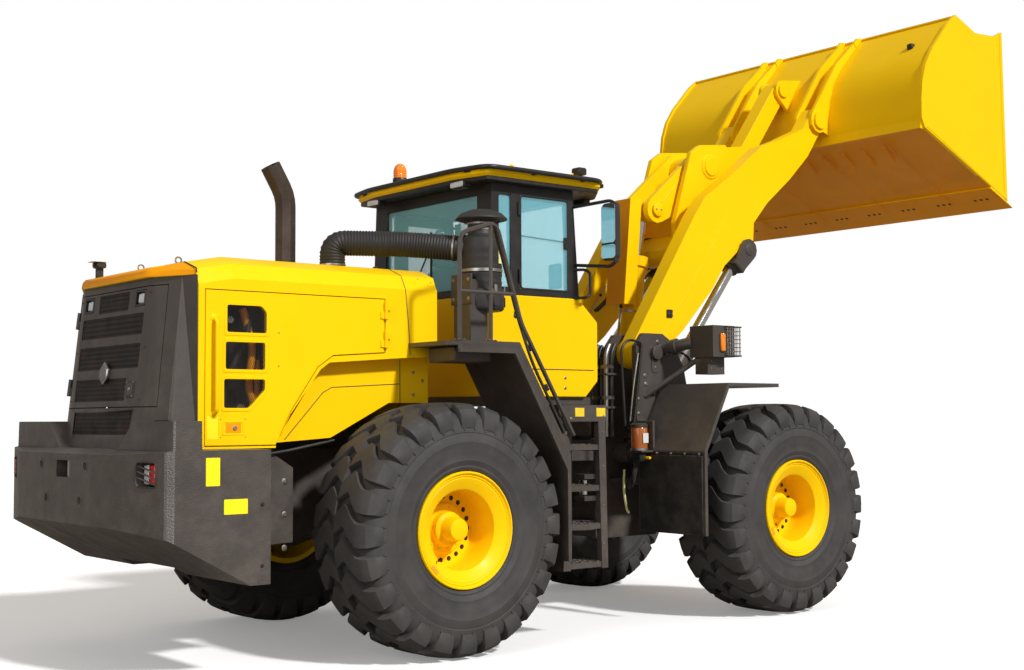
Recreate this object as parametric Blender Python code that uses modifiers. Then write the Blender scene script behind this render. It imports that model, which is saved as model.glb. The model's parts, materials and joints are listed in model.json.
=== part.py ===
"""Articulated wheel loader with raised bucket, one object for each piece.

Metres, +X forward, +Y to the machine's left, +Z up. Places are measured from the ground
under the middle of the rear axle; the empty "machine" then centres the whole on the origin.
"""

import math

import bmesh
import bpy
from mathutils import Matrix, Vector
from mathutils.geometry import convex_hull_2d

for old in list(bpy.data.objects):
    bpy.data.objects.remove(old, do_unlink=True)

# Driving dimensions
GAP = 0.0003
PLATE = 0.05
PIN_PLAY = 0.001
SEAL_PLAY = 0.0003
WHEELBASE = 3.45
TRACK = 2.38
TYRE_RADIUS = 0.870
TYRE_WIDTH = 0.675
LUG_COUNT = 24
LUG_DEPTH = 0.05
RIM_RADIUS = 0.40
RIM_WIDTH = 0.62
AXLE_RADIUS = 0.17
HINGE_X = WHEELBASE / 2
HINGE_PIN_RADIUS = 0.05

FRAME_Y = 0.32
FRAME_TOP = 1.42
FRAME_BOTTOM = 0.62
FRAME_NOTCH = 1.06

COUNTERWEIGHT_REAR = -2.22
COUNTERWEIGHT_CORNER = -2.08
COUNTERWEIGHT_FRONT = -1.39
COUNTERWEIGHT_HALF = 1.30
COUNTERWEIGHT_TOP = 1.44
COUNTERWEIGHT_LOW = 0.60
EAR_TOP = 1.62
EAR_REAR = -2.05
EAR_FRONT = -1.86

HOOD_HALF = 0.95
HOOD_BOTTOM = COUNTERWEIGHT_TOP + GAP
HOOD_FRONT = 0.15
HOOD_TOP = 2.70
HOOD_SKIN = 0.035
COWL_FRONT = -1.72
DOOR_FRONT = -0.30
DOOR_TOP = 2.46
ARCH_Z = 2.03
ARCH_WALL = 0.80
CAP_BOTTOM = 2.555
GRILLE_BOTTOM = 1.715
GRILLE_TOP = 2.50

CAB_REAR = 0.75
CAB_FRONT = 1.85
CAB_HALF = 0.80
CAB_FLOOR = 1.79
CAB_BELT = 2.57
CAB_HEADER = 3.42
CAB_TOP = 3.52
CAB_WALL = 0.06
ROOF_REAR = 0.58
ROOF_FRONT = 2.02
ROOF_HALF = 0.90

PLATFORM_HALF = 1.50
PLATFORM_TOP = 2.16
LADDER_HALF = 1.42
FENDER_HALF = 1.50
FENDER_TOP = 1.90

ARM_Y = 0.50
ARM_THICK = 0.15
TOWER_X = 2.35
TOWER_TOP = 2.33
TOWER_OUTER = 0.72

BUCKET_HALF = 1.67
BUCKET_SKIN = 0.03
BUCKET_TIP_X = 6.49

# Pins of the loader linkage, (x, z)
BOOM_PIN = (2.57, 2.17)
BUCKET_PIN = (4.92, 4.46)
LEVER_PIN = (3.75, 3.93)
TILT_ROD_PIN = (3.14, 3.49)
TILT_BASE_PIN = (2.86, 1.75)
LINK_LEVER_PIN = (4.42, 4.10)
LINK_BUCKET_PIN = (4.98, 4.85)
LIFT_ROD_PIN = (3.89, 3.14)
LIFT_BASE_PIN = (2.45, 1.33)
LIFT_EYE_HALF = 0.07
TILT_EYE_HALF = 0.08
LINK_HALF = 0.08
PIN_RADIUS = 0.06
PIN_RADIUS_WITH_PLAY = PIN_RADIUS + PIN_PLAY
# A bore of twelve flats clears its pin by this share
BORE = 1 / math.cos(math.pi / 12)

# Pins of the steering cylinders in plan, (x, y), and their height
STEER_BASE = (0.975, 0.58)
STEER_EYE = (2.085, 0.36)
STEER_Z = 1.05
STEER_PIN_RADIUS = 0.025

ORIGIN_X = (COUNTERWEIGHT_REAR + BUCKET_TIP_X) / 2

# Finishes: name, colour, roughness, metallic
FINISHES = {
    "yellow": ((0.99, 0.73, 0.005), 0.35, 0.0),
    "grey": ((0.065, 0.056, 0.050), 0.45, 0.0),
    "black": ((0.012, 0.012, 0.013), 0.5, 0.0),
    "tyre": ((0.03, 0.03, 0.031), 0.8, 0.0),
    "chrome": ((0.75, 0.75, 0.77), 0.12, 1.0),
    "steel": ((0.45, 0.44, 0.42), 0.4, 1.0),
    "glass": ((0.35, 0.55, 0.62), 0.05, 0.0),
    "seat": ((0.03, 0.03, 0.035), 0.7, 0.0),
    "mirror": ((0.8, 0.82, 0.85), 0.03, 1.0),
}

parts = bpy.data.collections.new("wheel_loader")
cutters = bpy.data.collections.new("cutters")
bpy.context.scene.collection.children.link(parts)
bpy.context.scene.collection.children.link(cutters)


def empty_at(name, place, parent=None):
    """An empty at a place given in the machine's frame."""
    empty = bpy.data.objects.new(name, None)
    parts.objects.link(empty)
    here = Vector(place)
    if parent is not None:
        empty.parent = parent
        here = here - Vector(parent["place"])
    empty["place"] = list(place)
    empty.location = here
    return empty


machine = bpy.data.objects.new("machine", None)
parts.objects.link(machine)
machine["place"] = [0.0, 0.0, 0.0]
machine.location = (-ORIGIN_X, 0, 0)


def helper(mesh, name="piece"):
    """A hidden object that waits to be joined, cut with or finished."""
    obj = bpy.data.objects.new(name, mesh)
    cutters.objects.link(obj)
    obj.parent = machine
    obj.hide_render = True
    obj.display_type = "WIRE"
    return obj


def mesh_of(bm, name="piece"):
    mesh = bpy.data.meshes.new(name)
    bm.to_mesh(mesh)
    bm.free()
    return mesh


def curve_mesh(curve, matrix):
    """The mesh that a curve gives, with its caps welded."""
    obj = bpy.data.objects.new("curve", curve)
    cutters.objects.link(obj)
    bpy.context.view_layer.update()
    graph = bpy.context.evaluated_depsgraph_get()
    mesh = bpy.data.meshes.new_from_object(obj.evaluated_get(graph))
    bpy.data.objects.remove(obj, do_unlink=True)
    bm = bmesh.new()
    bm.from_mesh(mesh)
    bmesh.ops.remove_doubles(bm, verts=bm.verts, dist=1e-5)
    bmesh.ops.transform(bm, matrix=matrix, verts=bm.verts)
    bmesh.ops.recalc_face_normals(bm, faces=bm.faces)
    bm.to_mesh(mesh)
    bm.free()
    return mesh


PLANES = {
    "x": Matrix(((0, 0, 1, 0), (1, 0, 0, 0), (0, 1, 0, 0), (0, 0, 0, 1))),
    "y": Matrix(((1, 0, 0, 0), (0, 0, -1, 0), (0, 1, 0, 0), (0, 0, 0, 1))),
    "z": Matrix.Identity(4),
}


def prism(outlines, axis, low, high):
    """Flat outlines, the first the edge and the others holes, made thick along an axis.

    Points are (y, z) for axis x, (x, z) for axis y and (x, y) for axis z.
    """
    if not isinstance(outlines[0][0], (tuple, list, Vector)):
        outlines = [outlines]
    curve = bpy.data.curves.new("outline", "CURVE")
    curve.dimensions = "2D"
    curve.fill_mode = "BOTH"
    curve.extrude = abs(high - low) / 2
    for outline in outlines:
        spline = curve.splines.new("POLY")
        spline.points.add(len(outline) - 1)
        for point, (u, v) in zip(spline.points, outline):
            point.co = (u, v, 0, 1)
        spline.use_cyclic_u = True
    middle = Vector((0, 0, 0))
    middle["xyz".index(axis)] = (low + high) / 2
    return helper(curve_mesh(curve, Matrix.Translation(middle) @ PLANES[axis]))


def slab(outlines, y_inner, y_outer, side):
    """A plate in the xz plane on one side of the machine."""
    low, high = sorted((side * y_inner, side * y_outer))
    return prism(outlines, "y", low, high)


def box(x0, x1, y0, y1, z0, z1):
    bm = bmesh.new()
    bmesh.ops.create_cube(bm, size=1.0)
    size = Matrix.Diagonal((abs(x1 - x0), abs(y1 - y0), abs(z1 - z0), 1))
    middle = Matrix.Translation(((x0 + x1) / 2, (y0 + y1) / 2, (z0 + z1) / 2))
    bmesh.ops.transform(bm, matrix=middle @ size, verts=bm.verts)
    return helper(mesh_of(bm))


def towards(start, end):
    """A matrix at start whose z points to end."""
    start, end = Vector(start), Vector(end)
    turn = (end - start).to_track_quat("Z", "Y").to_matrix().to_4x4()
    return Matrix.Translation(start) @ turn


def rod(start, end, radius, sides=12, end_radius=None):
    """A cylinder or a cone between two points."""
    length = (Vector(end) - Vector(start)).length
    bm = bmesh.new()
    bmesh.ops.create_cone(
        bm,
        cap_ends=True,
        segments=sides,
        radius1=radius,
        radius2=radius if end_radius is None else end_radius,
        depth=length,
    )
    place = towards(start, end) @ Matrix.Translation((0, 0, length / 2))
    bmesh.ops.transform(bm, matrix=place, verts=bm.verts)
    return helper(mesh_of(bm))


def turned(profile, start, end, steps=24, ring=False):
    """A profile of (radius, distance from start) turned about the line from start to end."""
    points = list(profile)
    following = points[1:] + (points[:1] if ring else [])
    volume = sum((a[0] ** 2 + a[0] * b[0] + b[0] ** 2) * (b[1] - a[1]) for a, b in zip(points, following))
    if volume > 0:
        points.reverse()
    edges = [(i, i + 1) for i in range(len(points) - 1)]
    if ring:
        edges.append((len(points) - 1, 0))
    mesh = bpy.data.meshes.new("profile")
    mesh.from_pydata([(r, 0, t) for r, t in points], edges, [])
    obj = helper(mesh)
    obj.matrix_basis = towards(start, end)
    screw = obj.modifiers.new("turn", "SCREW")
    screw.axis = "Z"
    screw.steps = steps
    screw.render_steps = steps
    screw.use_merge_vertices = True
    screw.merge_threshold = 1e-4
    screw.use_smooth_shade = False
    return obj


def rounded(points, radius, steps=3, closed=False):
    """The same path with each corner rounded."""
    points = [Vector(p) for p in points]
    found = []
    count = len(points)
    for i, here in enumerate(points):
        if not closed and i in (0, count - 1):
            found.append(here)
            continue
        before = points[i - 1] - here
        after = points[(i + 1) % count] - here
        reach = min(radius, before.length * 0.45, after.length * 0.45)
        first = here + before.normalized() * reach
        last = here + after.normalized() * reach
        for k in range(steps + 1):
            t = k / steps
            found.append(first * (1 - t) ** 2 + here * 2 * t * (1 - t) + last * t**2)
    return found


def tube(points, radius, closed=False, sides_step=1):
    """A round bar along a path."""
    curve = bpy.data.curves.new("path", "CURVE")
    curve.dimensions = "3D"
    curve.bevel_depth = radius
    curve.bevel_resolution = sides_step
    curve.use_fill_caps = not closed
    spline = curve.splines.new("POLY")
    spline.points.add(len(points) - 1)
    for point, place in zip(spline.points, points):
        point.co = (*place, 1)
    spline.use_cyclic_u = closed
    return helper(curve_mesh(curve, Matrix.Identity(4)))


def arc(middle, radius, start, end, steps):
    """Points on an arc, with angles in degrees."""
    found = []
    for k in range(steps + 1):
        angle = math.radians(start + (end - start) * k / steps)
        found.append((middle[0] + radius * math.cos(angle), middle[1] + radius * math.sin(angle)))
    return found


def circle(middle, radius, sides=12):
    return arc(middle, radius, 0, 360 - 360 / sides, sides - 1)


def hull(circles, sides=12, more=()):
    """The tight outline round some circles (middle, radius) and points."""
    points = [p for middle, radius in circles for p in circle(middle, radius, sides)]
    points += list(more)
    order = convex_hull_2d([Vector(p) for p in points])
    return [tuple(points[i]) for i in order]


def joined(base, *others):
    """Boolean union with each of the others, which stay hidden."""
    for other in others:
        modifier = base.modifiers.new("join", "BOOLEAN")
        modifier.operation = "UNION"
        modifier.object = other
    return base


def cut(base, *others):
    for other in others:
        modifier = base.modifiers.new("cut", "BOOLEAN")
        modifier.operation = "DIFFERENCE"
        modifier.object = other
    return base


def loft(sections):
    """A closed solid through sections with equal numbers of points, each a list of places."""
    bm = bmesh.new()
    rings = [[bm.verts.new(p) for p in section] for section in sections]
    for ring, after in zip(rings, rings[1:]):
        count = len(ring)
        for i in range(count):
            j = (i + 1) % count
            bm.faces.new((ring[i], ring[j], after[j], after[i]))
    bm.faces.new(rings[0])
    bm.faces.new(list(reversed(rings[-1])))
    bmesh.ops.connect_verts_nonplanar(bm, angle_limit=1e-4, faces=bm.faces)
    bmesh.ops.recalc_face_normals(bm, faces=bm.faces)
    return helper(mesh_of(bm))


def shell_ribbon(points, y0, y1, thickness, offset):
    """An open surface across the machine along (x, z) points, made solid by Solidify."""
    mesh = bpy.data.meshes.new("ribbon")
    places = [(x, y, z) for x, z in points for y in (y0, y1)]
    faces = [(2 * i, 2 * i + 1, 2 * i + 3, 2 * i + 2) for i in range(len(points) - 1)]
    mesh.from_pydata(places, [], faces)
    obj = helper(mesh)
    solid = obj.modifiers.new("wall", "SOLIDIFY")
    solid.thickness = thickness
    solid.offset = offset
    solid.use_even_offset = True
    return obj


materials = {}


def finish(obj, name, paint, joint=None):
    """Makes a helper a node: names it, paints it and puts it under its joint's empty."""
    if paint not in materials:
        colour, roughness, metallic = FINISHES[paint]
        material = bpy.data.materials.new(paint)
        material.use_nodes = True
        shader = material.node_tree.nodes["Principled BSDF"]
        shader.inputs["Base Color"].default_value = (*colour, 1)
        shader.inputs["Roughness"].default_value = roughness
        shader.inputs["Metallic"].default_value = metallic
        materials[paint] = material
    own = materials[paint].copy()
    own.name = name + "_" + paint
    obj.data.materials.clear()
    obj.data.materials.append(own)
    obj.name = name
    obj.data.name = name
    cutters.objects.unlink(obj)
    parts.objects.link(obj)
    obj.hide_render = False
    obj.display_type = "TEXTURED"
    if joint is not None:
        obj.parent = joint
        obj.matrix_basis = Matrix.Translation(-Vector(joint["place"])) @ obj.matrix_basis
    return obj


def at(pin, y=0.0):
    """A pin's (x, z) as a place."""
    return (pin[0], y, pin[1])


def along(start, end, distance):
    """The place at a distance from start towards end."""
    start, end = Vector(start), Vector(end)
    return start + (end - start).normalized() * distance


SIDES = {"right": -1, "left": 1}
steer_joint = empty_at("steer_axis", (HINGE_X, 0, STEER_Z), machine)
lift_joint = empty_at("lift_axis", at(BOOM_PIN), steer_joint)
bucket_joint = empty_at("bucket_axis", at(BUCKET_PIN), lift_joint)
lever_joint = empty_at("lever_axis", at(LEVER_PIN), lift_joint)
link_joint = empty_at("link_axis", at(LINK_BUCKET_PIN), bucket_joint)
tilt_joint = empty_at("tilt_cylinder_axis", at(TILT_BASE_PIN), steer_joint)


# Wheels

def tyre(name, x, side, joint):
    """A ring whose tread radius alternates between lug tops and grooves, in chevrons."""
    half = TYRE_WIDTH / 2
    middle = Vector((x, side * TRACK / 2, TYRE_RADIUS))
    # Profile points: share of half width, radius, groove depth, lean of the lug in steps
    profile = [
        (-0.84, RIM_RADIUS + GAP, 0.0, 0.0),
        (-1.0, 0.67, 0.0, 0.0),
        (-0.86, TYRE_RADIUS - 0.022, LUG_DEPTH, 0.7),
        (0.0, TYRE_RADIUS, LUG_DEPTH * 0.8, 2.0),
        (0.86, TYRE_RADIUS - 0.022, LUG_DEPTH, 0.7),
        (1.0, 0.67, 0.0, 0.0),
        (0.84, RIM_RADIUS + GAP, 0.0, 0.0),
    ]
    steps = LUG_COUNT * 3
    bm = bmesh.new()
    rings = []
    for k in range(steps):
        ring = []
        groove = k % 3 == 2
        for share, radius, depth, lean in profile:
            angle = 2 * math.pi * (k + lean) / steps
            r = radius - (depth if groove else 0.0)
            if depth == 0.0:
                r = radius / math.cos(math.pi / steps) if radius < RIM_RADIUS + 0.01 else radius
            ring.append(bm.verts.new((r * math.sin(angle), share * half, -r * math.cos(angle))))
        rings.append(ring)
    count = len(profile)
    for k in range(steps):
        here, after = rings[k], rings[(k + 1) % steps]
        for i in range(count):
            j = (i + 1) % count
            bm.faces.new((here[i], here[j], after[j], after[i]))
    bmesh.ops.recalc_face_normals(bm, faces=bm.faces)
    bmesh.ops.translate(bm, verts=bm.verts, vec=middle)
    finish(helper(mesh_of(bm)), name, "tyre", joint)


def rim(name, x, side, joint):
    """Turned deep-dish rim with its stepped hub."""
    inner = Vector((x, side * (TRACK / 2 - RIM_WIDTH / 2), TYRE_RADIUS))
    outer = Vector((x, side * (TRACK / 2 + RIM_WIDTH / 2), TYRE_RADIUS))
    w = RIM_WIDTH
    disc = w / 2 + 0.02
    profile = [
        (0.0, disc - 0.05),
        (0.31, disc - 0.05),
        (0.36, 0.0),
        (RIM_RADIUS, 0.0),
        (RIM_RADIUS, w),
        (0.37, w),
        (0.325, disc + 0.03),
        (0.24, disc),
        (0.20, disc + 0.10),
        (0.13, disc + 0.12),
        (0.12, disc + 0.21),
        (0.0, disc + 0.21),
    ]
    finish(turned(profile, inner, outer, steps=18), name, "yellow", joint)


DISC_BACK = TRACK / 2 - RIM_WIDTH / 2 + RIM_WIDTH / 2 + 0.02 - 0.05
for end, x in (("rear", 0.0), ("front", WHEELBASE)):
    for side_name, side in SIDES.items():
        base = machine if end == "rear" else steer_joint
        spin = empty_at(f"{end}_{side_name}_wheel_axis", (x, side * TRACK / 2, TYRE_RADIUS), base)
        tyre(f"tyre_{end}_{side_name}", x, side, spin)
        rim(f"rim_{end}_{side_name}", x, side, spin)


def axle(name, x, nose, joint):
    """A turned housing with a nose for the shaft, and pads up to the frame."""
    # Half profile: radius, distance from the middle
    half = [(0.29, 0.10), (0.25, 0.20), (AXLE_RADIUS, 0.30), (AXLE_RADIUS, 0.62), (0.22, 0.66)]
    half += [(0.22, 0.80), (0.26, 0.82), (0.26, DISC_BACK - 0.2), (0.20, DISC_BACK - GAP)]
    end = half[-1][1]
    profile = [(0.0, 0.0)] + [(r, end - t) for r, t in reversed(half)]
    profile += [(r, end + t) for r, t in half] + [(0.0, 2 * end)]
    body = turned(profile, (x, -end, TYRE_RADIUS), (x, end, TYRE_RADIUS), steps=12)
    tip = x + nose * 0.58
    joined(body, rod((x, 0, TYRE_RADIUS + 0.02), (tip, 0, TYRE_RADIUS + 0.02), 0.17, 12, 0.10))
    for side in (-1, 1):
        y0, y1 = side * (FRAME_Y - 0.03), side * (FRAME_Y + PLATE + 0.03)
        joined(body, box(x - 0.14, x + 0.14, y0, y1, TYRE_RADIUS, FRAME_NOTCH - GAP))
    finish(body, name, "grey", joint)
    return tip


rear_tip = axle("rear_axle", 0.0, 1, machine)
front_tip = axle("front_axle", WHEELBASE, -1, steer_joint)


# Rear frame with the hinge forks, the cab deck and the bearers

LUGS = ((1.27, 1.35), (0.69, 0.77))
FORKS = [span for low, high in LUGS for span in ((low - 0.07, low - GAP), (high + GAP, high + 0.07))]
STEER_EYE_HALF = 0.06
BULKHEAD_X = 1.20
SIDE_PLATE_OUTER = 0.78
RAIL_OUTER = FRAME_Y + PLATE


def rear_frame():
    rail = [
        (COUNTERWEIGHT_FRONT + GAP, 0.80),
        (-0.55, 0.80),
        (-0.38, FRAME_NOTCH),
        (0.38, FRAME_NOTCH),
        (0.62, FRAME_BOTTOM),
        (BULKHEAD_X + 0.06, FRAME_BOTTOM),
        (BULKHEAD_X + 0.06, FRAME_TOP),
        (COUNTERWEIGHT_FRONT + GAP, FRAME_TOP),
    ]
    frame = slab(rail, FRAME_Y, RAIL_OUTER, -1)
    joined(frame, slab(rail, FRAME_Y, RAIL_OUTER, 1))
    # Side plates that carry the counterweight's outer ends
    side_plate = [(COUNTERWEIGHT_FRONT + GAP, 0.78), (-0.93, 0.80), (-0.93, 1.30), (-1.12, FRAME_TOP)]
    side_plate += [(COUNTERWEIGHT_FRONT + GAP, FRAME_TOP)]
    for side in (-1, 1):
        joined(frame, slab(side_plate, SIDE_PLATE_OUTER - 0.035, SIDE_PLATE_OUTER, side))
        joined(frame, box(-1.34, -1.30, side * 0.35, side * 0.75, 0.82, 1.38))
        joined(frame, box(-1.00, -0.96, side * 0.35, side * 0.75, 0.82, 1.25))
    # Cross plates: x from, x to, z from, z to
    for x0, x1, z0, z1 in (
        (COUNTERWEIGHT_FRONT + 0.01, COUNTERWEIGHT_FRONT + 0.07, 0.81, 1.41),
        (-0.98, -0.88, 1.12, 1.20),
        (-0.28, -0.18, 1.14, 1.20),
        (0.64, 0.72, 0.70, 0.76),
        (0.92, 1.02, 0.70, 0.76),
    ):
        joined(frame, box(x0, x1, -RAIL_OUTER + 0.01, RAIL_OUTER - 0.01, z0, z1))
    bulkhead = box(BULKHEAD_X, BULKHEAD_X + 0.06, -RAIL_OUTER + 0.01, RAIL_OUTER - 0.01, 0.63, 1.41)
    joined(frame, bulkhead)
    fork = [(BULKHEAD_X + 0.02, -RAIL_OUTER + 0.01)]
    fork += arc((HINGE_X, 0), 0.16, -60, 60, 5)
    fork += [(BULKHEAD_X + 0.02, RAIL_OUTER - 0.01)]
    for z0, z1 in FORKS:
        joined(frame, prism(fork, "z", z0, z1))
    joined(frame, rod((HINGE_X, 0, 1.19), (HINGE_X, 0, 1.43), HINGE_PIN_RADIUS, 12))
    joined(frame, rod((HINGE_X, 0, 0.61), (HINGE_X, 0, 0.85), HINGE_PIN_RADIUS, 12))
    for side in (-1, 1):
        # Ears for the steering cylinders
        near, far = STEER_EYE_HALF + GAP, STEER_EYE_HALF + 0.04
        for z0, z1 in ((STEER_Z - far, STEER_Z - near), (STEER_Z + near, STEER_Z + far)):
            x, y = STEER_BASE
            outline = [(x - 0.09, side * (RAIL_OUTER - 0.02)), (x - 0.07, side * (y + 0.04))]
            outline += [(x + 0.07, side * (y + 0.04)), (x + 0.09, side * (RAIL_OUTER - 0.02))]
            joined(frame, prism(outline, "z", z0, z1))
        x, y = STEER_BASE
        low, high = STEER_Z - far - 0.01, STEER_Z + far + 0.01
        joined(frame, rod((x, side * y, low), (x, side * y, high), STEER_PIN_RADIUS, 10))
        # Posts and deck under the cab
        for x in (0.80, 1.16):
            joined(frame, box(x, x + 0.08, side * (FRAME_Y + 0.01), side * (RAIL_OUTER - 0.01), 1.40, 1.75))
    deck = box(CAB_REAR, 1.80, -0.76, 0.76, 1.73, CAB_FLOOR - GAP)
    joined(frame, deck)
    cut(frame, rod((BULKHEAD_X - 0.1, 0, 1.0), (BULKHEAD_X + 0.2, 0, 1.0), 0.13, 12))
    finish(frame, "rear_frame", "grey", machine)


rear_frame()

engine = box(-1.05, -0.12, -0.31, 0.31, 1.20 + GAP, 2.05)
finish(engine, "engine_block", "grey", machine)

transmission = box(rear_tip + GAP, 1.05, -0.28, 0.28, 0.76 + GAP, 1.34)
joined(transmission, rod((1.0, 0, 1.0), (1.12, 0, 1.0), 0.09))
finish(transmission, "transmission", "grey", machine)

shaft = rod((1.15, 0, 1.0), (HINGE_X - 0.09, 0, 0.97), 0.045)
joined(shaft, rod((1.12 + GAP, 0, 1.0), (1.17, 0, 1.0), 0.06))
joined(shaft, rod((HINGE_X - 0.12, 0, 0.97), (HINGE_X - 0.05, 0, 0.97), 0.06))
finish(shaft, "propshaft_centre", "black", machine)
nose_z = TYRE_RADIUS + 0.02
shaft = rod((HINGE_X + 0.09, 0, 0.96), (front_tip - 0.03, 0, nose_z), 0.045)
joined(shaft, rod((front_tip - 0.05, 0, nose_z), (front_tip - GAP, 0, nose_z), 0.06))
joined(shaft, rod((HINGE_X + 0.05, 0, 0.96), (HINGE_X + 0.12, 0, 0.96), 0.06))
finish(shaft, "propshaft_front", "black", steer_joint)


# Counterweight: bulged rear face, sloped belly, two ears on its ledge, pockets and holes

def ear_inner(z):
    """Half the width between the ears at a height."""
    return 0.49 + 1.26 * (z - COUNTERWEIGHT_TOP)


def counterweight():
    half = COUNTERWEIGHT_HALF
    rear, corner, front = COUNTERWEIGHT_REAR, COUNTERWEIGHT_CORNER, COUNTERWEIGHT_FRONT
    right = [(rear, 0.80), (corner - 0.01, half - 0.03), (corner + 0.03, half), (front, half)]
    plan = [(x, -y) for x, y in right] + [(x, y) for x, y in reversed(right)]
    body = prism(plan, "z", COUNTERWEIGHT_LOW - 0.1, EAR_TOP)
    # Side view of what is left below the belly and above the rear ledge
    belly = [(rear - 0.1, 0.4), (front + 0.1, 0.4), (front + 0.1, COUNTERWEIGHT_LOW)]
    belly += [(-1.53, COUNTERWEIGHT_LOW), (corner, 0.905), (rear - 0.1, 0.99)]
    cut(body, prism(belly, "y", -half - 0.1, half + 0.1))
    cut(body, box(rear + 0.2, front + 0.1, -0.42, 0.42, COUNTERWEIGHT_LOW - 0.1, COUNTERWEIGHT_LOW + 0.05))
    ledge = [(rear - 0.1, 1.395), (EAR_REAR, COUNTERWEIGHT_TOP)]
    ledge += [(EAR_REAR, EAR_TOP + 0.1), (rear - 0.1, EAR_TOP + 0.1)]
    cut(body, prism(ledge, "y", -half - 0.1, half + 0.1))
    # Between the ears and in front of them the top is flat
    low, high = COUNTERWEIGHT_TOP, EAR_TOP + 0.01
    top = [(-ear_inner(low), low), (ear_inner(low), low), (ear_inner(high), high), (-ear_inner(high), high)]
    cut(body, prism(top, "x", rear - 0.1, front + 0.1))
    cut(body, box(EAR_FRONT, front + 0.1, -half - 0.1, half + 0.1, COUNTERWEIGHT_TOP, EAR_TOP + 0.1))
    for side in (-1, 1):
        # Tail lamp pocket, half its height wide at each slanted end
        lamp = [(1.03, 1.22), (1.18, 1.22), (1.195, 1.24), (1.195, 1.35), (1.18, 1.37), (1.03, 1.37)]
        lamp += [(1.015, 1.35), (1.015, 1.24)]
        cut(body, prism([(side * y, z) for y, z in lamp], "x", rear - 0.1, corner + 0.05))
    cut(body, box(rear - 0.1, rear + 0.12, -0.11, 0.11, 1.255, 1.365))
    for y, z in ((-0.375, 1.333), (0.375, 1.333), (-0.285, 1.11), (0.285, 1.11)):
        cut(body, rod((rear - 0.1, y, z), (rear + 0.10, y, z), 0.033, 10))
    finish(body, "counterweight", "grey", machine)


counterweight()


# Hood, cowl, side doors and grille door

def hood_section(x, top, inset=0.0, bottom=HOOD_BOTTOM):
    half = HOOD_HALF - inset
    top = top - inset
    right = [(half, bottom), (half, top - 0.16), (half - 0.05, top - 0.06), (half - 0.20, top)]
    return [(x, -y, z) for y, z in right] + [(x, y, z) for y, z in reversed(right)]


def hood_loft(rear, front, inset=0.0, bottom=HOOD_BOTTOM):
    # The roof rises from the cap to a ridge and then runs level: x, top
    line = [(COWL_FRONT - 0.1, 2.633), (-1.47, HOOD_TOP), (HOOD_FRONT, HOOD_TOP)]

    def top_at(x):
        for (x0, z0), (x1, z1) in zip(line, line[1:]):
            if x <= x1:
                return z0 + (z1 - z0) * (x - x0) / (x1 - x0)
        return line[-1][1]

    stations = [rear] + [x for x, _ in line if rear < x < front] + [front]
    return loft([hood_section(x, top_at(x), inset, bottom) for x in stations])


DOOR_OUTLINE = [
    (COWL_FRONT + 0.05, HOOD_BOTTOM + 0.02),
    (-1.16, HOOD_BOTTOM + 0.02),
    (-1.05, 1.68),
    (-0.84, 1.98),
    (-0.72, ARCH_Z + 0.03),
    (DOOR_FRONT, ARCH_Z + 0.06),
    (DOOR_FRONT, DOOR_TOP),
    (COWL_FRONT + 0.05, DOOR_TOP),
]


def grown(outline, amount):
    """An outline whose edges are all moved outward by an amount."""
    count = len(outline)
    area = sum(outline[i - 1][0] * outline[i][1] - outline[i][0] * outline[i - 1][1] for i in range(count))
    turn = 1 if area > 0 else -1
    lines = []
    for i in range(count):
        (x0, z0), (x1, z1) = outline[i], outline[(i + 1) % count]
        length = math.hypot(x1 - x0, z1 - z0)
        normal = (turn * (z1 - z0) / length, -turn * (x1 - x0) / length)
        lines.append((normal, normal[0] * x0 + normal[1] * z0 + amount))
    found = []
    for i in range(count):
        (a, c), (b, d) = lines[i - 1], lines[i]
        across = a[0] * b[1] - a[1] * b[0]
        found.append(((c * b[1] - d * a[1]) / across, (a[0] * d - b[0] * c) / across))
    return found


KNUCKLE = 0.014
LEAF = 0.04


def knuckles(axis, own, outward, heights, towards_panel):
    """Hinge knuckles round a vertical axis, each with its leaf, as helpers to join to a panel.

    own picks the lower (0) or the upper (1) knuckle of each pair; outward is the unit (x, y)
    away from the panel's face and towards_panel the unit (x, y) along it.
    """
    found = []
    for z in heights:
        z0, z1 = (z - 0.06, z - GAP / 2) if own == 0 else (z + GAP / 2, z + 0.06)
        x, y = axis
        found.append(rod((x, y, z0), (x, y, z1), KNUCKLE, 8))
        depth = -(KNUCKLE + 0.008)
        far_x = x + towards_panel[0] * LEAF + outward[0] * depth
        far_y = y + towards_panel[1] * LEAF + outward[1] * depth
        found.append(box(*sorted((x, far_x)), *sorted((y, far_y)), z0 + 0.004, z1 - 0.004))
    return found


HINGE_HEIGHTS = (2.18, 2.38)


# Crease line over the rear wheel, (x, z), from the counterweight to the front of the hood
CREASE = [
    (-1.16, HOOD_BOTTOM - 0.14),
    (-1.16, 1.45),
    (-1.05, 1.66),
    (-0.82, 1.96),
    (-0.75, 2.01),
    (-0.14, 2.055),
    (HOOD_FRONT + 0.1, 2.07),
]


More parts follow.
